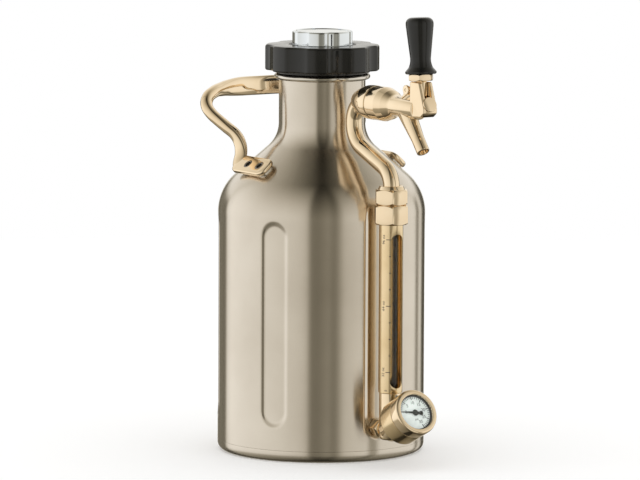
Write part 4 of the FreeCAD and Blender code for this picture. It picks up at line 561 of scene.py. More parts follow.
# %% The studio in reflections
# Degrees from the camera, positive towards its right, and how bright the room is there.
ROOM = [(-180, 0.90), (-171, 0.85), (-166, 0.14), (-150, 0.22), (-134, 0.16), (-130, 0.92), (-120, 1.07),
        (-60, 0.93), (-45, 0.88), (-23, 0.78), (-18, 0.72), (-15, 0.62), (-12, 0.24), (-3, 0.25), (8, 0.35),
        (13, 0.26), (17, 0.27), (26, 0.68), (53, 0.87), (57, 0.40), (64, 0.40), (69, 0.90), (122, 0.94),
        (129, 0.92), (132, 0.22), (136, 0.22), (140, 0.80), (147, 0.80), (151, 0.08), (166, 0.08),
        (171, 0.85), (180, 0.90)]
FADE = 0.65          # how fast the room darkens overhead
DEEPEN = 0.7         # how much faster its dark parts do
BEHIND = (1.9, 2.4)  # radians from the camera where the backlight starts and is whole
OVER = (0.04, 0.24)  # heights between the horizon at 0 and overhead at 1, likewise
UNDER = (-0.42, -0.30)
TABLE_LEVEL = 0.46
DARK_TINT, LIGHT_TINT = (1.0, 0.91, 0.67, 1), (1.02, 1.01, 0.97, 1)


def smooth_step(tree, value, limits, lowest=0.0):
    """Rises from the lowest value to 1 between two limits."""
    made = node(tree, "ShaderNodeMapRange", interpolation_type="SMOOTHSTEP", Value=value, From_Min=limits[0],
                From_Max=limits[1], To_Min=lowest)
    return made.outputs[0]


world = bpy.data.worlds.new("studio")
world.use_nodes = True
world.cycles.sampling_method = "NONE"
bpy.context.scene.world = world
tree = world.node_tree
background = tree.nodes["Background"]
direction = tree.nodes.new("ShaderNodeTexCoord").outputs["Generated"]
spread = node(tree, "ShaderNodeSeparateXYZ", Vector=direction)
turned_round = math_node(tree, "ARCTAN2", spread.outputs["Y"], spread.outputs["X"])
offset = math_node(tree, "SUBTRACT", turned_round, math.atan2(CAMERA_PLACE.y, CAMERA_PLACE.x))
wrapped = math_node(tree, "WRAP", offset, math.pi)
wrapped.node.inputs[2].default_value = -math.pi
fraction = math_node(tree, "ADD", math_node(tree, "DIVIDE", wrapped, math.tau), 0.5)
ring = node(tree, "ShaderNodeValToRGB", Fac=fraction)
stops = ring.color_ramp.elements
for angle, level in ROOM[1:-1]:
    stops.new(angle / 360 + 0.5)
for stop, (angle, level) in zip(stops, ROOM):
    stop.color = (level, level, level, 1)
# Overhead the room is dark: it fades with height, and first where it is dark already.
height = spread.outputs["Z"]
fading = math_node(tree, "SUBTRACT", 1.0, math_node(tree, "POWER", height, 2.0))
fading = math_node(tree, "POWER", fading, FADE)
deepening = math_node(tree, "MULTIPLY", math_node(tree, "MAXIMUM", height, 0.0), DEEPEN)
deepening = math_node(tree, "ADD", deepening, 1.0)
# Behind the bottle the lights stand over a dark edge, so tops and shoulders mirror them.
behind = smooth_step(tree, math_node(tree, "ABSOLUTE", wrapped, 0.0), BEHIND)
backlight = math_node(tree, "MULTIPLY", behind, smooth_step(tree, height, OVER))
lit = math_node(tree, "MAXIMUM", ring.outputs["Color"], backlight)
room = math_node(tree, "MULTIPLY", math_node(tree, "POWER", lit, deepening), fading)
# Far below the horizon there is only the shaded side of the table, which undersides mirror.
room = math_node(tree, "MULTIPLY", room, smooth_step(tree, height, UNDER, TABLE_LEVEL))
# The dark parts of the room are warm, as walls and furniture are beyond the lights.
warm = color_mix(tree, room, DARK_TINT, LIGHT_TINT)
mirrored = tree.nodes.new("ShaderNodeLightPath").outputs["Is Glossy Ray"]
feed(background.inputs["Color"], color_mix(tree, mirrored, (1, 1, 1, 1), warm))
seen = node(tree, "ShaderNodeMix", data_type="FLOAT", Factor=mirrored, A=1.0, B=room)
feed(background.inputs["Strength"], seen.outputs[0])
print("room stops:", len(stops))

# %% Floor
FLOOR_RADIUS = 1.4
floor_mesh = bmesh.new()
bmesh.ops.create_circle(floor_mesh, cap_ends=True, segments=96, radius=FLOOR_RADIUS)
floor_material, tree, shader, place = new_material("floor_paper")
shader.inputs["Base Color"].default_value = (0.86, 0.86, 0.855, 1)
shader.inputs["Roughness"].default_value = 0.9
shader.inputs["Specular IOR Level"].default_value = 0.1
rays = tree.nodes.new("ShaderNodeLightPath")
# The camera sees the sheet a little brighter than it is, as overexposed white paper.
glow = node(tree, "ShaderNodeEmission", Color=rays.outputs["Is Camera Ray"], Strength=0.2)
added = tree.nodes.new("ShaderNodeAddShader")
feed(added.inputs[0], shader.outputs[0])
feed(added.inputs[1], glow.outputs[0])
# Metal mirrors the studio below the sheet and not a white floor.
see_through(tree, rays.outputs["Is Glossy Ray"], added.outputs[0])
floor = finish(floor_mesh, "floor", floor_material, None)
print("floor radius, m:", FLOOR_RADIUS)

# %% [markdown]
# ## The bottle
# The outer wall's shell, shoulder and neck are ground to one smooth surface at their welds, so they are
# spun here as one sheet: a line with two large fillets, taken round the axis. Six flutes are pressed into
# it. The spin takes small steps where a flute will be and large ones between, and then the points inside a
# flute's stadium outline are pushed inwards, which keeps the mesh even and the rims soft.

# %% Outline of the wall
BODY_R = 80.5
NECK_R = 33.6
SHOULDER_R = 38.9
NECK_FILLET_R = 24.4
FINE_STEP = 0.85  # between points where a flute ends
WALL_LINE = [(80.42, 9.03), (BODY_R, 9.12)]
WALL_LINE += [(BODY_R, 9.5 + FINE_STEP * k) for k in range(1, 40)]
WALL_LINE += [(BODY_R, 43 + 14 * k) for k in range(10)]
WALL_LINE += [(BODY_R, 170 + FINE_STEP * k) for k in range(1, 19)]
bends = rounded([(BODY_R, 180), (BODY_R, 203.73, SHOULDER_R), (NECK_R, 244.5, NECK_FILLET_R),
                 (NECK_R, 276)], steps=34)
WALL_LINE += [(point.x, point.y) for point in bends[1:]]
WALL_LINE += [(NECK_R, 285), (NECK_R, 289.4), (33.4, 289.6)]
print("points in the wall's line:", len(WALL_LINE))

# %% Sizes of the flutes
FLUTES = 6
FLUTE_STEP = math.tau / FLUTES
FLUTE_DEPTH = 1.8
FLUTE_HALF = 11.3
FLUTE_SLOPE = 1.71          # how far a side runs outwards for each millimetre that it rises
FLUTE_EDGE_R = 79.7         # where a side crosses the outline
FLUTE_ENDS = (27.7, 184.3)
TAP_FLUTE_ENDS = (19.0, 205.0)
FLOOR_BLEND, RIM_BLEND = 0.7, 0.5
FLUTE_SECTOR, PLAIN_SECTOR = (18, 30), (42, 14)  # degrees and steps of the spin


# %% Spin the wall in sectors
def spun_wall():
    bm = bmesh.new()
    start = math.radians(-90 - FLUTE_SECTOR[0] / 2)
    verts = [bm.verts.new((radius * MM * math.cos(start), radius * MM * math.sin(start), height * MM))
             for radius, height in WALL_LINE]
    edge = verts + [bm.edges.new(pair) for pair in zip(verts, verts[1:])]
    for angle, steps in (FLUTE_SECTOR, PLAIN_SECTOR) * FLUTES:
        edge = bmesh.ops.spin(bm, geom=edge, cent=(0, 0, 0), axis=UP, angle=math.radians(angle), steps=steps,
                              use_merge=False)["geom_last"]
    bmesh.ops.remove_doubles(bm, verts=bm.verts, dist=1e-7)
    bmesh.ops.recalc_face_normals(bm, faces=bm.faces)
    return bm


# %% Press the flutes and give the sheet its thickness
def press_flutes(bm):
    moved = 0
    for vert in bm.verts:
        radius = math.hypot(vert.co.x, vert.co.y) / MM
        angle = math.atan2(vert.co.y, vert.co.x) + math.pi / 2
        number = round(angle / FLUTE_STEP)
        off = angle - number * FLUTE_STEP
        low, high = TAP_FLUTE_ENDS if number % FLUTES == 0 else FLUTE_ENDS
        height = vert.co.z / MM
        end = min(max(height, low + FLUTE_HALF), high - FLUTE_HALF)
        distance = math.hypot(radius * math.sin(off), height - end)
        cut = (FLUTE_EDGE_R + (distance - FLUTE_HALF) / FLUTE_SLOPE) / math.cos(off)
        pressed = -soft_min(-cut, -(BODY_R - FLUTE_DEPTH), FLOOR_BLEND)
        pressed = soft_min(radius, pressed, RIM_BLEND) if radius - pressed > -RIM_BLEND else radius
        if pressed < radius - 1e-4:
            vert.co.xy = vert.co.xy * (pressed / radius)
            moved += 1
    print("points pressed into flutes:", moved)


wall = spun_wall()
press_flutes(wall)
bmesh.ops.solidify(wall, geom=wall.faces, thickness=1.0 * MM)
bmesh.ops.recalc_face_normals(wall, faces=wall.faces)
finish(wall, "outer_wall", steel, "keg", "outer_shell", "shoulder_shell", "neck_shell", slot="steel",
       crease=40)

# %% [markdown]
# The bottom is a second pressing, welded on just above the rounded edge. The bottle stands on its flat
# ring.

# %% Base cover
base = turned([(0, 2.5), (60.0, 2.5, 1.5), (62.5, 0, 1.5), (BODY_R, 0, 6.0), (BODY_R, 8.97, 0.1),
               (79.5, 8.97, 0.1), (79.5, 6), (74, 1.0, 3.0), (63.0, 1.0, 1.0), (60.5, 3.5, 1.0), (0, 3.5)],
              steps=160)
finish(base, "base_cover_sheet", steel, "keg", "base_cover", slot="steel")
seal = turned([(0, 1.3), (9.0, 1.3, 0.6), (9.0, 2.5), (0, 2.5)], steps=48)
finish(seal, "vacuum_plug", bead_steel, "keg", "vacuum_seal_cap", slot="steel")

# %% [markdown]
# ## The mouth
# Both walls end in a turned ring. Its rolled bead shows as the bright line under the cap, and it carries
# the smooth bore and the ledge for the gasket. One turned profile holds all three.

# %% Mouth ring
mouth = turned([(23.5, 273.0, 0.4), (29.2, 273.0), (29.2, 289.4), (33.4, 289.4), (34.4, 289.6),
                (37.3, 289.6, 2.15), (37.3, 294.0, 2.15), (27.5, 294.0, 0.7), (27.5, 276.0),
                (23.5, 276.0, 0.4)], steps=160, arc=9)
finish(mouth, "mouth_bead", bead_steel, "keg", "mouth_ring", slot="steel")

# %% [markdown]
# ## The cap and the pressure dial
# Both are knobs whose rim dips in scallops. A ring of points is raised level by level and each level
# says how far it follows the scallops, so the moulded edges stay round where lobe and scallop meet.


# %% Levels of a knob
def curl(height, radius, start, end, steps=5):
    """Levels of the lobed rim's rounded edge, whose arc has its middle at the height."""
    angles = [math.radians(start + (end - start) * k / steps) for k in range(steps + 1)]
    return [(1, radius * math.cos(angle) - radius, height + radius * math.sin(angle)) for angle in angles]


# %% Cap
CAP_R = 44.3
CAP_SCALLOP_R = 24.6
CAP_SCALLOP_DEPTH = 3.0
CAP_LOBES = 8
CAP_PHASE = 29.5  # degrees from +X to the middle of a scallop
cap_levels = [(0, 22.3, 281.1), (0, 27.1, 281.1), (0, 27.42, 281.4), (0, 27.42, 311.0), (0, 35.4, 311.0),
              (0, 35.4, 294.8), (0, 36.7, 294.8), (0, 37.0, 295.1), (0, 37.0, 296.4)]
cap_levels += curl(297.9, 1.5, -90, 0) + [(1, 0, 303.0), (1, 0, 309.0)] + curl(314.2, 2.2, 0, 90, 7)
cap_levels += [(0, 32, 316.4), (0, 26.4, 316.4), (0, 26.1, 316.3), (0, 24.6, 314.2), (0, 22.5, 314.2),
               (0, 22.3, 314.0)]
cap = lobed(CAP_R, CAP_SCALLOP_R, CAP_SCALLOP_DEPTH, CAP_LOBES, CAP_PHASE, cap_levels, 0.7, closed=True)
finish(cap, "screw_cap", cap_black, "cap", "cap_shell", slot="cap_black")

# %% Pressure dial
DIAL_R = 23.4
DIAL_SCALLOP_R = 14.1
DIAL_SCALLOP_DEPTH = 2.0
DIAL_LOBES = 6
DIAL_PHASE = 15.7
dial_levels = [(0, 18.6, 324.6), (0, 18.6, 314.8), (0, 23.1, 314.8), (0, DIAL_R, 315.1), (0, DIAL_R, 316.3)]
dial_levels += [(0, 23.2, 316.5), (1, 0.02, 316.6), (1, 0, 316.9), (1, 0, 321)]
dial_levels += curl(325.4, 1.6, 0, 90, 6)
dial_levels += [(0, 20.3, 327.0), (0, 20.1, 326.9), (0, 19.7, 326.45), (0, 19.4, 326.4), (0, 10, 326.4)]
dial = lobed(DIAL_R, DIAL_SCALLOP_R, DIAL_SCALLOP_DEPTH, DIAL_LOBES, DIAL_PHASE, dial_levels, 0.5)
finish(dial, "pressure_knob", chrome, "dial", "pressure_dial", slot="chrome")

# %% [markdown]
# ## The carry handle
# The handle is one cast wishbone. Its section changes from a narrow leg at each foot to a tall, thin strap
# across the back, and it turns from facing the shoulder to facing backwards. A section carried along
# the path does all of it: each station has its own place, facing, height and thickness.

# %% Path of the handle
FOOT = at(-59.4, 0, 222.07)
SLOPE_ANGLE = math.radians(49)  # from level to the way that the shoulder faces at a foot
OUT = Vector((-math.cos(SLOPE_ANGLE), 0, math.sin(SLOPE_ANGLE)))
DOWN = Vector((-OUT.z, 0, OUT.x))
LEG_LIFT = 3.05                 # from the foot's place to the middle of the leg's start
LEG_PATH = [(-56.4, 28, 233), (-55.7, 30.8, 239.3), (-57.3, 34.8, 245.6), (-61.6, 40.2, 251),
            (-65.4, 46, 256), (-68.4, 52, 260.9), (-69.4, 57.6, 266.5), (-65.4, 63, 272.1),
            (-56.8, 68.6, 275.8), (-45.2, 75.6, 277.2), (-29, 84, 277.5), (-12, 90.4, 277.2)]
half_path = [FOOT + (OUT * LEG_LIFT + Vector((0, y, 0))) * MM for y in (14, 22)]
half_path += [Vector(point) * MM for point in LEG_PATH]
path = half_path + [Vector((0, 92, 277)) * MM] + [Vector((-p.x, p.y, p.z)) for p in reversed(half_path)]


def smooth_curve(points, steps):
    """Places evenly spaced along a spline through the points, from a curve that is then removed."""
    curve = bpy.data.curves.new("path", "CURVE")
    curve.dimensions = "3D"
    spline = curve.splines.new("BEZIER")
    spline.bezier_points.add(len(points) - 1)
    for place, point in zip(points, spline.bezier_points):
        point.co = place
        point.handle_left_type = point.handle_right_type = "AUTO"
    spline.resolution_u = 24
    holder = bpy.data.objects.new("path", curve)
    bpy.context.scene.collection.objects.link(holder)
    mesh = bpy.data.meshes.new_from_object(holder)
    dense = [vert.co.copy() for vert in mesh.vertices]
    bpy.data.objects.remove(holder)
    bpy.data.curves.remove(curve)
    bpy.data.meshes.remove(mesh)
    lengths = [0.0]
    for before, after in zip(dense, dense[1:]):
        lengths.append(lengths[-1] + (after - before).length)
    places = []
    for step in range(steps + 1):
        target = lengths[-1] * step / steps
        k = next(i for i in range(1, len(dense)) if lengths[i] >= target - 1e-9)
        share = (target - lengths[k - 1]) / (lengths[k] - lengths[k - 1])
        places.append(dense[k - 1].lerp(dense[k], share))
    return places


places = smooth_curve(path, 150)
print("handle length, mm:", round(sum((b - a).length for a, b in zip(places, places[1:])) / MM))


# %% Sections of the handle
def ease(value, start, end):
    share = min(max((value - start) / (end - start), 0), 1)
    return share * share * (3 - 2 * share)


LEG_TALL, SIDE_TALL, BACK_TALL = 3.5, 9.4, 15.0
LEG_THICK, SIDE_THICK, BACK_THICK = 11.9, 9.0, 6.6
HALF = len(places) // 2
frames = []
upright = OUT.copy()
for k in range(HALF + 1):
    ahead = (places[k + 1] - places[max(k - 1, 0)]).normalized()
    upright = (upright - ahead * upright.dot(ahead)).normalized()
    frames.append((places[k], ahead, upright))
twist = math.atan2(frames[-1][1].dot(frames[-1][2].cross(UP)), frames[-1][2].dot(UP))
stations = []
for k, (place, ahead, upright) in enumerate(frames):
    share = k / HALF
    facing = upright.copy()
    facing.rotate(Matrix.Rotation(twist * ease(share, 0.2, 0.75), 3, ahead))
    leg, back = ease(share, 0.03, 0.25), ease(share, 0.55, 0.9)
    tall = LEG_TALL + (SIDE_TALL - LEG_TALL) * leg + (BACK_TALL - SIDE_TALL) * back
    thick = LEG_THICK + (SIDE_THICK - LEG_THICK) * leg + (BACK_THICK - SIDE_THICK) * back
    stations.append(station(place, ahead, facing, tall / 2, thick / 2))
strap = drawn(stations, 44, 0.85, open_end=True)
print("stations:", len(stations))

# %% [markdown]
# Each foot is a plate with round ends, bedded on a welded pad. The plate, its pad and its screws are
# modelled flat, then stood on the shoulder's slope by one matrix, and mirrored to the other side.

# %% The shoulder's own frame
SLOPE = Matrix.Translation(FOOT) @ Matrix((DOWN, Vector((0, 1, 0)), OUT)).transposed().to_4x4()


def plate(half_width, front, rear, low, high, corner, edge):
    """A plate with rounded corners lying on the shoulder: across the slope, then front to rear."""
    outline = rounded([(-half_width, front, corner), (half_width, front, corner),
                       (half_width, rear, corner), (-half_width, rear, corner)], True, 8)
    bm = prism([Vector((point.x, point.y, low)) * MM for point in outline], UP * (high - low))
    softened(bm, edge, 3)
    bmesh.ops.transform(bm, matrix=SLOPE, verts=bm.verts)
    return bm


def on_foot(corners, y):
    """A turned piece that stands on the shoulder's slope."""
    return turned(corners, SLOPE @ (Vector((0, y, 0)) * MM), OUT, steps=40)


def both_sides(bm):
    """Adds the mirror image across the middle of the bottle."""
    bmesh.ops.mirror(bm, geom=bm.verts[:] + bm.edges[:] + bm.faces[:], axis="X", merge_dist=2e-5)
    return clean(bm)


# %% Feet, pads and screws
SCREW_Y = (-7.4, 8.2)
feet = plate(8.5, -18.6, 26.0, 1.2, 4.9, 6.5, 1.2)
bores = [on_foot([(0, 0), (1.75, 0), (1.75, 2.9), (3.9, 2.9), (3.9, 8), (0, 8)], y) for y in SCREW_Y]
left_half = join(strap, carved(feet, bores))
finish(both_sides(left_half), "wishbone_handle", gold, "keg", "carry_handle", slot="gold", crease=35)
pads = both_sides(plate(6.5, -16.1, 16.9, -2.6, 1.2, 4.3, 0.4))
finish(pads, "handle_foot_pads", bead_steel, "keg", "handle_pads", slot="steel")
# The screws take the darkened steel, whose colour is painted shade for their sockets.
screws = join(*[on_foot([(0, 0.5), (1.7, 0.5), (1.7, 2.95), (3.85, 2.95), (3.85, 4.75, 0.5),
                         (2.5, 4.9, 0.3), (2.3, 3.1), (0, 3.1)], y) for y in SCREW_Y])
finish(both_sides(screws), "handle_button_screws", socket_shade_steel, "keg", "handle_screws",
       slot="spring_steel")

# %% [markdown]
# ## The sight gauge
# A glass tube stands in a slotted brass guard, between a small manifold below and a hexagonal coupling
# above, so the beer's level shows from outside. The guard is a turned tube with one slot milled in it,
# which is exactly how it is made here: spin, then cut with a stadium-shaped bar.

# %% Manifold, with its branch for the pressure gauge
LINE = 97.6                     # s of the glass's axis
LINE_FOOT = at(0, LINE, 0)
OUTLET_Z = 27.0
GAUGE_TILT = math.radians(27)
GAUGE_AXIS = Vector((0, -math.cos(GAUGE_TILT), math.sin(GAUGE_TILT)))
GAUGE_BASE = at(0, LINE, OUTLET_Z)
upright = turned([(0, 19.5), (8.5, 19.5, 3.0), (8.5, 55.9, 0.3), (7.65, 56.2), (7.65, 59.4), (0, 59.4)],
                 LINE_FOOT, steps=80)
branch = turned([(0, 0), (9.6, 0), (9.6, 14.6, 0.4), (0, 14.6)], GAUGE_BASE, GAUGE_AXIS, steps=80)
spigot = turned([(0, 0), (5.8, 0, 0.3), (5.8, 1.6, 0.3), (4.8, 1.6), (4.8, 12.0), (0, 12.0)],
                at(0, 85.0, OUTLET_Z), FRONT, steps=48)
manifold = carved(upright, [branch, spigot], "UNION")
bore = turned([(0, 52.4), (6.15, 52.4), (6.15, 70), (0, 70)], LINE_FOOT, steps=48)
GUARD_SCREW_Z = 53.9
pocket = turned([(0, 0), (1.4, 0), (1.4, 6), (0, 6)], at(0, LINE + 7.0, GUARD_SCREW_Z), FRONT, steps=32)
manifold = carved(manifold, [bore, pocket])
# The branch's seam is rounded: the sharp edges low on the manifold and in front of its axis.
seam = [edge for edge in manifold.edges if edge.is_manifold and edge.calc_face_angle(0) > math.radians(28)
        and edge.verts[0].co.z < 0.045 and (edge.verts[0].co + edge.verts[1].co).y / 2 < -0.0985]
round_edges(manifold, seam, 0.7, 3)
finish(manifold, "outlet_manifold", gold, "keg", "manifold_body", slot="gold")
screw = turned([(0, 0), (1.3, 0), (1.3, 1.3, 0.25), (0.45, 1.3, 0.1), (0.45, 0.7), (0, 0.7)],
               at(0, 104.7, GUARD_SCREW_Z), FRONT, steps=32)
finish(screw, "guard_fixing_screw", bright_steel, "keg", "guard_screw", slot="gold")
nut = hexagon(15.0, 0, 9.8, 1.0, at(0, 79.3, OUTLET_Z), FRONT, bore=4.9)
finish(nut, "outlet_union", gold, "keg", "outlet_nut", slot="gold")

# %% Guard and glass
GUARD_R = 9.25
SLOT_LOW, SLOT_HIGH = 60.0, 178.5
SLOT_HALF = GUARD_R * math.sin(math.radians(36))
SLOT_CORNER = SLOT_HALF - 0.01
guard = turned([(7.65, 56.2, 0.2), (GUARD_R, 56.2, 0.2), (GUARD_R, 191.7, 0.2), (7.65, 191.7, 0.2)],
               LINE_FOOT, steps=128)
outline = rounded([(-SLOT_HALF, SLOT_LOW, SLOT_CORNER), (SLOT_HALF, SLOT_LOW, SLOT_CORNER),
                   (SLOT_HALF, SLOT_HIGH, SLOT_CORNER), (-SLOT_HALF, SLOT_HIGH, SLOT_CORNER)], True, 14)
slot_bar = prism([at(point.x, LINE, point.y) for point in outline], FRONT * 20)
guard = softened(carved(guard, [slot_bar]), 0.2, 2, 40)
finish(guard, "slotted_guard", satin_brass, "keg", "sight_guard", slot="satin_brass", crease=30)
tube = turned([(4.4, 52.5), (6.0, 52.5), (6.0, 193.7), (4.4, 193.7)], LINE_FOOT, steps=96)
finish(tube, "level_glass", glass, "keg", "sight_glass", slot="glass")

# %% [markdown]
# The guard carries a scale of fluid ounces on its left. Marks and numbers are flat print, so they are laid
# out on a sheet and then wrapped onto the tube: sideways distance becomes an angle round the axis.


# %% A sheet of print
def on_sheet(centre, turn):
    return Matrix.Translation((*centre, 0)) @ Matrix.Rotation(math.radians(turn), 4, "Z")


def words(text, height, centre, turn=0.0):
    """A number or word as a flat mesh, centred, in millimetres on the sheet."""
    font = bpy.data.curves.new("words", "FONT")
    font.body = text
    font.size = height
    font.align_x, font.align_y = "CENTER", "CENTER"
    font.extrude = 0.02
    font.resolution_u = 3
    holder = bpy.data.objects.new("words", font)
    bpy.context.scene.collection.objects.link(holder)
    mesh = bpy.data.meshes.new_from_object(holder)
    bm = bmesh.new()
    bm.from_mesh(mesh)
    bpy.data.objects.remove(holder)
    bpy.data.curves.remove(font)
    bpy.data.meshes.remove(mesh)
    bmesh.ops.transform(bm, matrix=on_sheet(centre, turn), verts=bm.verts)
    return bm


def bar(length, height, centre, turn=0.0):
    """A printed mark on the sheet."""
    bm = bmesh.new()
    shape = Matrix.Diagonal((length, height, 0.04, 1))
    bmesh.ops.create_cube(bm, size=1, matrix=on_sheet(centre, turn) @ shape)
    return bm


# %% Graduations on the guard
def wrapped_on_tube(bm, radius, middle, base):
    """Lays the sheet's X round a tube standing on base and its Y up the tube."""
    for step in range(-10, 11):
        bmesh.ops.bisect_plane(bm, geom=bm.verts[:] + bm.edges[:] + bm.faces[:],
                               plane_co=(0.4 * step, 0, 0), plane_no=(1, 0, 0))
    for vert in bm.verts:
        angle = middle + vert.co.x / radius
        reach = (radius + vert.co.z) * MM
        vert.co = base + Vector((reach * math.cos(angle), reach * math.sin(angle), vert.co.y * MM))
    return bm


SCALE_LOW, SCALE_STEP = 72.6, 51.0
SCALE_ANGLE = math.radians(-147)
marks = []
for step in range(9):
    height = SCALE_LOW + step * SCALE_STEP / 4
    major = step % 4 == 0
    marks.append(bar(3.9 if major else 1.6, 0.5 if major else 0.6, (1.95 if major else 3.1, height)))
for count, number in enumerate(("32", "64", "96")):
    marks.append(words(number + " oz", 3.3, (-2.2, SCALE_LOW + count * SCALE_STEP), 90))
marks.append(words("oz", 2.4, (0.2, 58.6)))
scale = wrapped_on_tube(join(*marks), GUARD_R + 0.02, SCALE_ANGLE, LINE_FOOT)
finish(clean(scale), "guard_scale", print_black, "keg", slot="needle_black")

# %% [markdown]
# ## Coupling, union nut and riser
# Hexagons on real fittings have their corners turned off, and that curved chamfer is what the eye reads
# as a nut. Each one here is a prism kept only where a chamfered disc also is, with its edges softened.

# %% Coupling and union nut
coupling = join(hexagon(28.4, 185.7, 200.6, 1.6, LINE_FOOT, bore=6.2),
                turned([(3.0, 200.0), (9.5, 200.0), (9.5, 207.6, 0.4), (3.0, 207.6)], LINE_FOOT, steps=64))
finish(coupling, "hex_coupling", gold, "keg", "coupling_body", slot="gold")
union = join(hexagon(27.5, 201.0, 212.6, 1.6, LINE_FOOT, bore=9.6),
             turned([(6.5, 212.0), (10.3, 212.0), (10.2, 212.8, 0.4), (9.0, 215.2, 0.5), (6.5, 215.2)],
                    LINE_FOOT, steps=80))
finish(union, "riser_union_nut", gold, "keg", "union_nut", slot="gold")

# %% Riser
TUBE_R = 6.35
ELBOW_S, ELBOW_Z = 45.1, 260.0  # where the riser meets the tap's elbow
riser = drawn(along([(LINE, 207.6), (LINE, 224.45, 15.5), (ELBOW_S, 245.66, 20.0), (ELBOW_S, ELBOW_Z)],
                    TUBE_R, 20), 56)
flange = turned([(5.2, 207.6), (9.5, 207.6, 0.2), (9.5, 209.2, 0.2), (5.2, 209.2)], LINE_FOOT, steps=64)
finish(join(riser, flange), "riser_pipe", gold, "keg", "riser_tube", slot="gold")

# %% [markdown]
# ## The tap
# The tap is one casting turned on a lathe where it can be: a flared elbow, a bell that swallows the
# shank, a barrel, an upright column that houses the lever, and a spout that leans forward. The turned
# forms and the sawn column are joined by Booleans and the seams are rounded like a polished casting.

# %% Elbow with its flare
TAP_Z = 277.0
bend = [(ELBOW_S, ELBOW_Z), (ELBOW_S, TAP_Z, 16.9), (64.0, TAP_Z)]
elbow = drawn(along(bend, TUBE_R, 20), 56)
flare = turned([(0, 50.4), (5.6, 50.5), (6.9, 51.3), (8.1, 53.2), (9.35, 56.0), (10.55, 59.2), (11.6, 62.4),
                (12.5, 65.6), (13.0, 68.0), (13.2, 70.2), (13.2, 77.5, 0.8), (0, 77.5)],
               at(0, 0, TAP_Z), FRONT, steps=96)
elbow = carved(elbow, [flare], "UNION")
finish(elbow, "flared_elbow", gold, "keg", "tap_elbow", slot="gold", crease=38)

# %% Bell, barrel, column, spout and ear
PIVOT_S, PIVOT_Z = 138.1, 284.0
PIVOT = at(0, PIVOT_S, PIVOT_Z)
SLOT_SIDE = 3.25                # half the width of the lever's slot
barrel = turned([(0, 77.9), (12.4, 77.9), (13.1, 78.6, 0.4), (13.1, 90.5, 5.0), (11.2, 97.2, 2.5),
                 (8.2, 103.2, 7.0), (8.2, 134.8), (0, 134.8)], at(0, 0, TAP_Z), FRONT, steps=96, arc=10)
column = slab([(130.8, 270.6, 1.2), (130.8, 298.0, 1.6), (142.8, 298.0, 1.6), (150.0, 278.4, 1.6),
               (150.0, 274.6, 1.6), (146.0, 271.6, 1.2)], 12.8, 1.1)
SPOUT_START, SPOUT_END = at(0, 116.3, 275.0), at(0, 140.9, 244.7)
SPOUT_AXIS = (SPOUT_END - SPOUT_START).normalized()
SPOUT_LENGTH = (SPOUT_END - SPOUT_START).length / MM
spout = turned([(0, 0), (7.2, 0), (5.0, SPOUT_LENGTH - 12, 6), (5.0, SPOUT_LENGTH, 0.5),
                (0, SPOUT_LENGTH)], SPOUT_START, SPOUT_AXIS, steps=80)
ear = slab([(116.8, 283.2), (124.0, 292.9), (126.4, 294.1), (134.8, 294.1), (134.8, 283.2)], 9.8, 0.5)
casting = carved(barrel, [spout, column, ear], "UNION")
lever_slot = block(at(-SLOT_SIDE, 132.4, 273.6), at(SLOT_SIDE, 143.4, 305.0))
front_slot = block(at(-SLOT_SIDE, PIVOT_S, 285.2), at(SLOT_SIDE, 156.0, 305.0))
spout_bore = turned([(0, 4), (3.6, 4), (3.6, SPOUT_LENGTH + 2), (0, SPOUT_LENGTH + 2)],
                    SPOUT_START, SPOUT_AXIS, steps=48)
PIN_START = at(-5.0, PIVOT_S, PIVOT_Z)
pin_bore = turned([(0, 0), (1.55, 0), (1.55, 20), (0, 20)], PIN_START, RIGHT, steps=32)
casting = carved(casting, [lever_slot, front_slot, spout_bore, pin_bore])


# %% Round the casting's seams
def soften_seams(bm, width, segments, low, high):
    """Rounds the sharp edges whose angle lies between two limits, where two forms meet."""
    seams = [edge for edge in bm.edges if edge.is_manifold
             and math.radians(low) < edge.calc_face_angle(0) < math.radians(high)
             and edge.calc_length() > 0.02 * MM]
    return round_edges(bm, seams, width, segments)


soften_seams(casting, 0.35, 2, 34, 120)
finish(casting, "tap_casting", gold, "keg", "tap_body", slot="gold", crease=42)

# %% Front plug and lock
# The column's front face leans back by the run for its rise, and the plug sits square on it.
FACE_RISE, FACE_RUN = 19.6, 7.2
plug_face = Vector((0, -FACE_RISE, FACE_RUN)).normalized()
plug = turned([(0, -4.0), (2.75, -4.0), (2.75, 0), (5.8, 0), (5.8, 1.0, 0.35), (0, 1.0)],
              at(0, 150.0 - 3.0 * FACE_RUN / FACE_RISE, 281.4), plug_face, steps=80)
finish(plug, "round_front_plug", gold, "keg", "front_plug", slot="gold")
lock = turned([(0, -9.8), (1.55, -9.8), (1.55, 0), (3.8, 0, 0.3), (3.8, 1.9, 0.6), (1.2, 1.9, 0.2),
               (0.9, 1.5), (0, 1.5)], at(-5.2, 126.4, 291.1), -RIGHT, steps=56)
finish(lock, "tap_lock", gold, "lock", "lock_knob", slot="gold")

# %% [markdown]
# ## Lever and grip
# The lever is a flat tongue on a pin. A hexagonal ferrule locks the grip, whose waist and rounded head
# are a single turned profile. All of it is built upright on the pivot and leaned back by one matrix.

# %% Lever parts
LEAN_ANGLE = math.radians(-3.4)
LEAN = Matrix.Translation(PIVOT) @ Matrix.Rotation(LEAN_ANGLE, 4, "X")


def leaned(bm):
    bmesh.ops.transform(bm, matrix=LEAN, verts=bm.verts)
    return bm


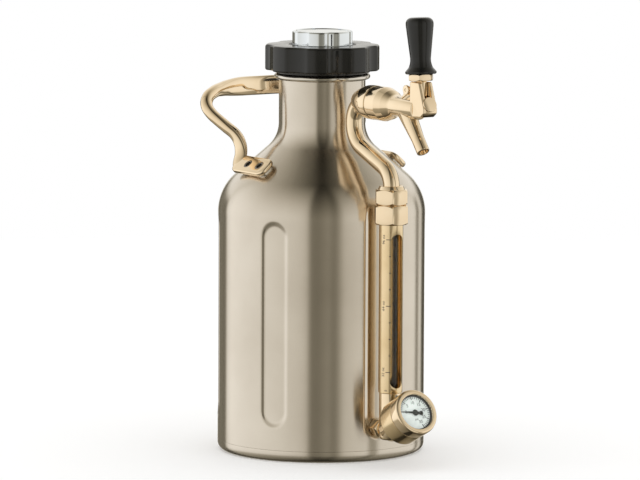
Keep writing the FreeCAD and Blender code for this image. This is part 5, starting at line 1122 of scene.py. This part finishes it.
tongue = block(Vector((-2.9, -3.5, 0.0)) * MM, Vector((2.9, 3.5, 14.7)) * MM, 0.4)
stud = turned([(0, 14.5), (3.0, 14.5), (3.0, 39.9, 0.4), (0, 39.9)], steps=48)
upper = leaned(join(tongue, stud))
boss = turned([(0, 0), (3.5, 0, 0.2), (3.5, 5.8, 0.2), (0, 5.8)], at(-2.9, PIVOT_S, PIVOT_Z), RIGHT,
              steps=48)
tip = at(0, PIVOT_S, TAP_Z)
finger = turned([(0, 0), (1.0, 0), (1.0, 7.0), (0, 7.0)], tip, steps=24)
ball = bmesh.new()
bmesh.ops.create_uvsphere(ball, u_segments=32, v_segments=16, radius=1.9 * MM,
                          matrix=Matrix.Translation(tip))
finish(join(upper, boss, finger, ball), "lever_tongue", gold, "lever", "tap_lever", slot="gold")
pin = turned([(0, 0), (1.45, 0, 0.2), (1.45, 11.2, 0.25), (0, 11.2)], PIN_START, RIGHT, steps=32)
finish(pin, "pivot_pin", bright_steel, "keg", "lever_pin", slot="gold")
ferrule = leaned(hexagon(20.2, 14.7, 19.9, 1.0, Vector(), turn=-10.4, bore=3.05))
finish(ferrule, "grip_ferrule", gold, "lever", "lever_ferrule", slot="gold")
grip = turned([(3.05, 19.9), (11.3, 19.9), (11.9, 20.5), (11.9, 21.7, 0.4), (9.1, 24.9, 3.0),
               (7.6, 29.5, 14.0), (10.6, 56.5, 9.0), (10.6, 62.0, 4.6), (6.2, 62.6, 3.0), (0.6, 62.8),
               (0.6, 40.2), (3.05, 40.2)], steps=96, arc=10)
finish(leaned(grip), "moulded_grip", grip_black, "lever", "tap_grip", slot="cap_black")

# %% [markdown]
# ## The pressure gauge
# A round case on a short stem, with a screwed bezel, a flat lens and a white plate behind it. Everything is
# modelled facing up and then swung onto the gauge's axis, so the plate's print can be laid out flat.

# %% The gauge's own frame
GAUGE = Matrix((RIGHT, GAUGE_AXIS.cross(RIGHT), GAUGE_AXIS)).transposed().to_4x4()
GAUGE = Matrix.Translation(GAUGE_BASE) @ GAUGE


def swung(bm):
    bmesh.ops.transform(bm, matrix=GAUGE, verts=bm.verts)
    return bm


# %% Case, bezel and lens
case = turned([(1.5, 11.0), (4.0, 11.0), (4.0, 14.9), (16.3, 14.9, 1.0), (17.7, 16.3, 0.8),
               (17.7, 31.5, 0.4), (16.2, 31.6), (16.2, 39.2), (14.0, 39.2), (14.0, 36.9), (12.8, 36.9),
               (12.8, 18.9), (10.4, 16.5), (1.5, 16.5)], steps=128)
finish(swung(case), "gauge_cup", gauge_brass, "keg", "gauge_case", slot="satin_brass")
bezel = turned([(16.2, 32.1), (17.4, 32.1), (18.0, 32.6, 0.3), (18.0, 41.4, 1.8), (14.0, 41.4, 0.5),
                (14.0, 40.2), (16.2, 40.2)], steps=128)
finish(swung(bezel), "gauge_rim", gold, "keg", "gauge_bezel", slot="satin_brass")
lens = turned([(0, 39.2), (16.2, 39.2), (16.2, 40.2), (0, 40.2)], steps=96)
# The black ring under the lens's rim is drawn as a rubber seal but stands for the shade inside the bezel, on
# its inner wall and the plate's edge: painted shade.
seal = turned([(12.9, 37.6), (14.0, 37.6), (14.0, 39.2), (13.3, 39.2)], steps=96)
finish(swung(seal), "gauge_painted_shade_ring", rubber, "keg", slot="rubber")
finish(swung(lens), "gauge_window", lens_glass, "keg", "gauge_lens", slot="glass")

# %% Plate, ticks and numbers
gauge_face = turned([(1.2, 36.9), (14.0, 36.9), (14.0, 37.5), (1.2, 37.5)], steps=96)
finish(swung(gauge_face), "gauge_plate", dial_white, "keg", "gauge_dial", slot="dial_white")
FACE_HEIGHT = 37.52
NEEDLE_START = 172  # degrees from the face's own X, where the scale starts and the needle rests
TICK_STEP = 8
TICK_OUTER = 12.9
NUMBERS_R = 8.0


def on_circle(radius, angle):
    return (radius * math.cos(math.radians(angle)), radius * math.sin(math.radians(angle)))


print_marks = []
for step in range(31):
    angle = NEEDLE_START - step * TICK_STEP
    long = step % 5 == 0
    inner = 10.3 if long else 11.2
    middle = on_circle((TICK_OUTER + inner) / 2, angle)
    print_marks.append(bar(TICK_OUTER - inner, 0.75 if long else 0.52, middle, angle))
    if long:
        print_marks.append(words(str(step), 3.6, on_circle(NUMBERS_R, angle)))
print_marks.append(words("psi", 2.6, (0, -5.2)))
face_print = join(*print_marks)
to_face = Matrix.Translation(UP * FACE_HEIGHT * MM) @ Matrix.Scale(MM, 4)
bmesh.ops.transform(face_print, matrix=to_face, verts=face_print.verts)
finish(swung(face_print), "gauge_print", print_black, "keg", slot="needle_black")

# %% Needle
NEEDLE_Z = 38.0
TAIL = -5.2
outline = [(TAIL, -0.9), (0, -1.0), (10.8, -0.25), (10.8, 0.25), (0, 1.0), (TAIL, 0.9)]
arm = prism([Vector((x, y, NEEDLE_Z)) * MM for x, y in outline], UP * 0.35)
weight = turned([(0, NEEDLE_Z), (1.7, NEEDLE_Z), (1.7, 38.38, 0.1), (0, 38.38)], RIGHT * TAIL * MM, steps=40)
hub = turned([(0, 30.2), (0.55, 30.2), (0.55, NEEDLE_Z), (2.4, NEEDLE_Z), (2.5, 38.6, 0.25),
              (1.6, 38.8, 0.2), (0, 38.8)], steps=48)
needle = join(arm, weight, hub)
bmesh.ops.rotate(needle, cent=(0, 0, 0), matrix=Matrix.Rotation(math.radians(NEEDLE_START), 3, "Z"),
                 verts=needle.verts)
finish(swung(needle), "pressure_needle", needle_black, "needle", "gauge_needle", slot="needle_black")

# %% [markdown]
# ## What the bottle hides
# The inner vessel, the regulator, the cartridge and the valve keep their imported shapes, which are right as
# they are. They come into view when the cap is lifted or the tap opened, so each gets its true finish.

# %% Finishes for the inner parts
HIDDEN = {steel_inner: ("inner_floor", "inner_vessel", "inner_shoulder", "inner_neck", "outlet_boss"),
          aluminium: ("regulator_body", "regulator_bonnet", "backing_plate", "cartridge_sleeve"),
          bright_steel: ("regulator_spring", "piercing_lance", "valve_poppet", "spring_nut",
                         "gas_cartridge", "adjusting_screw"),
          rubber: ("cap_gasket", "outlet_seal", "sight_seals", "valve_seal", "diaphragm"),
          satin_brass: ("relief_valve", "gauge_movement", "bourdon_tube", "valve_plunger")}
for material, names in HIDDEN.items():
    for name in names:
        for material_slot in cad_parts[name].material_slots:
            material_slot.material = material
print("inner parts with their finish:", sum(len(names) for names in HIDDEN.values()))
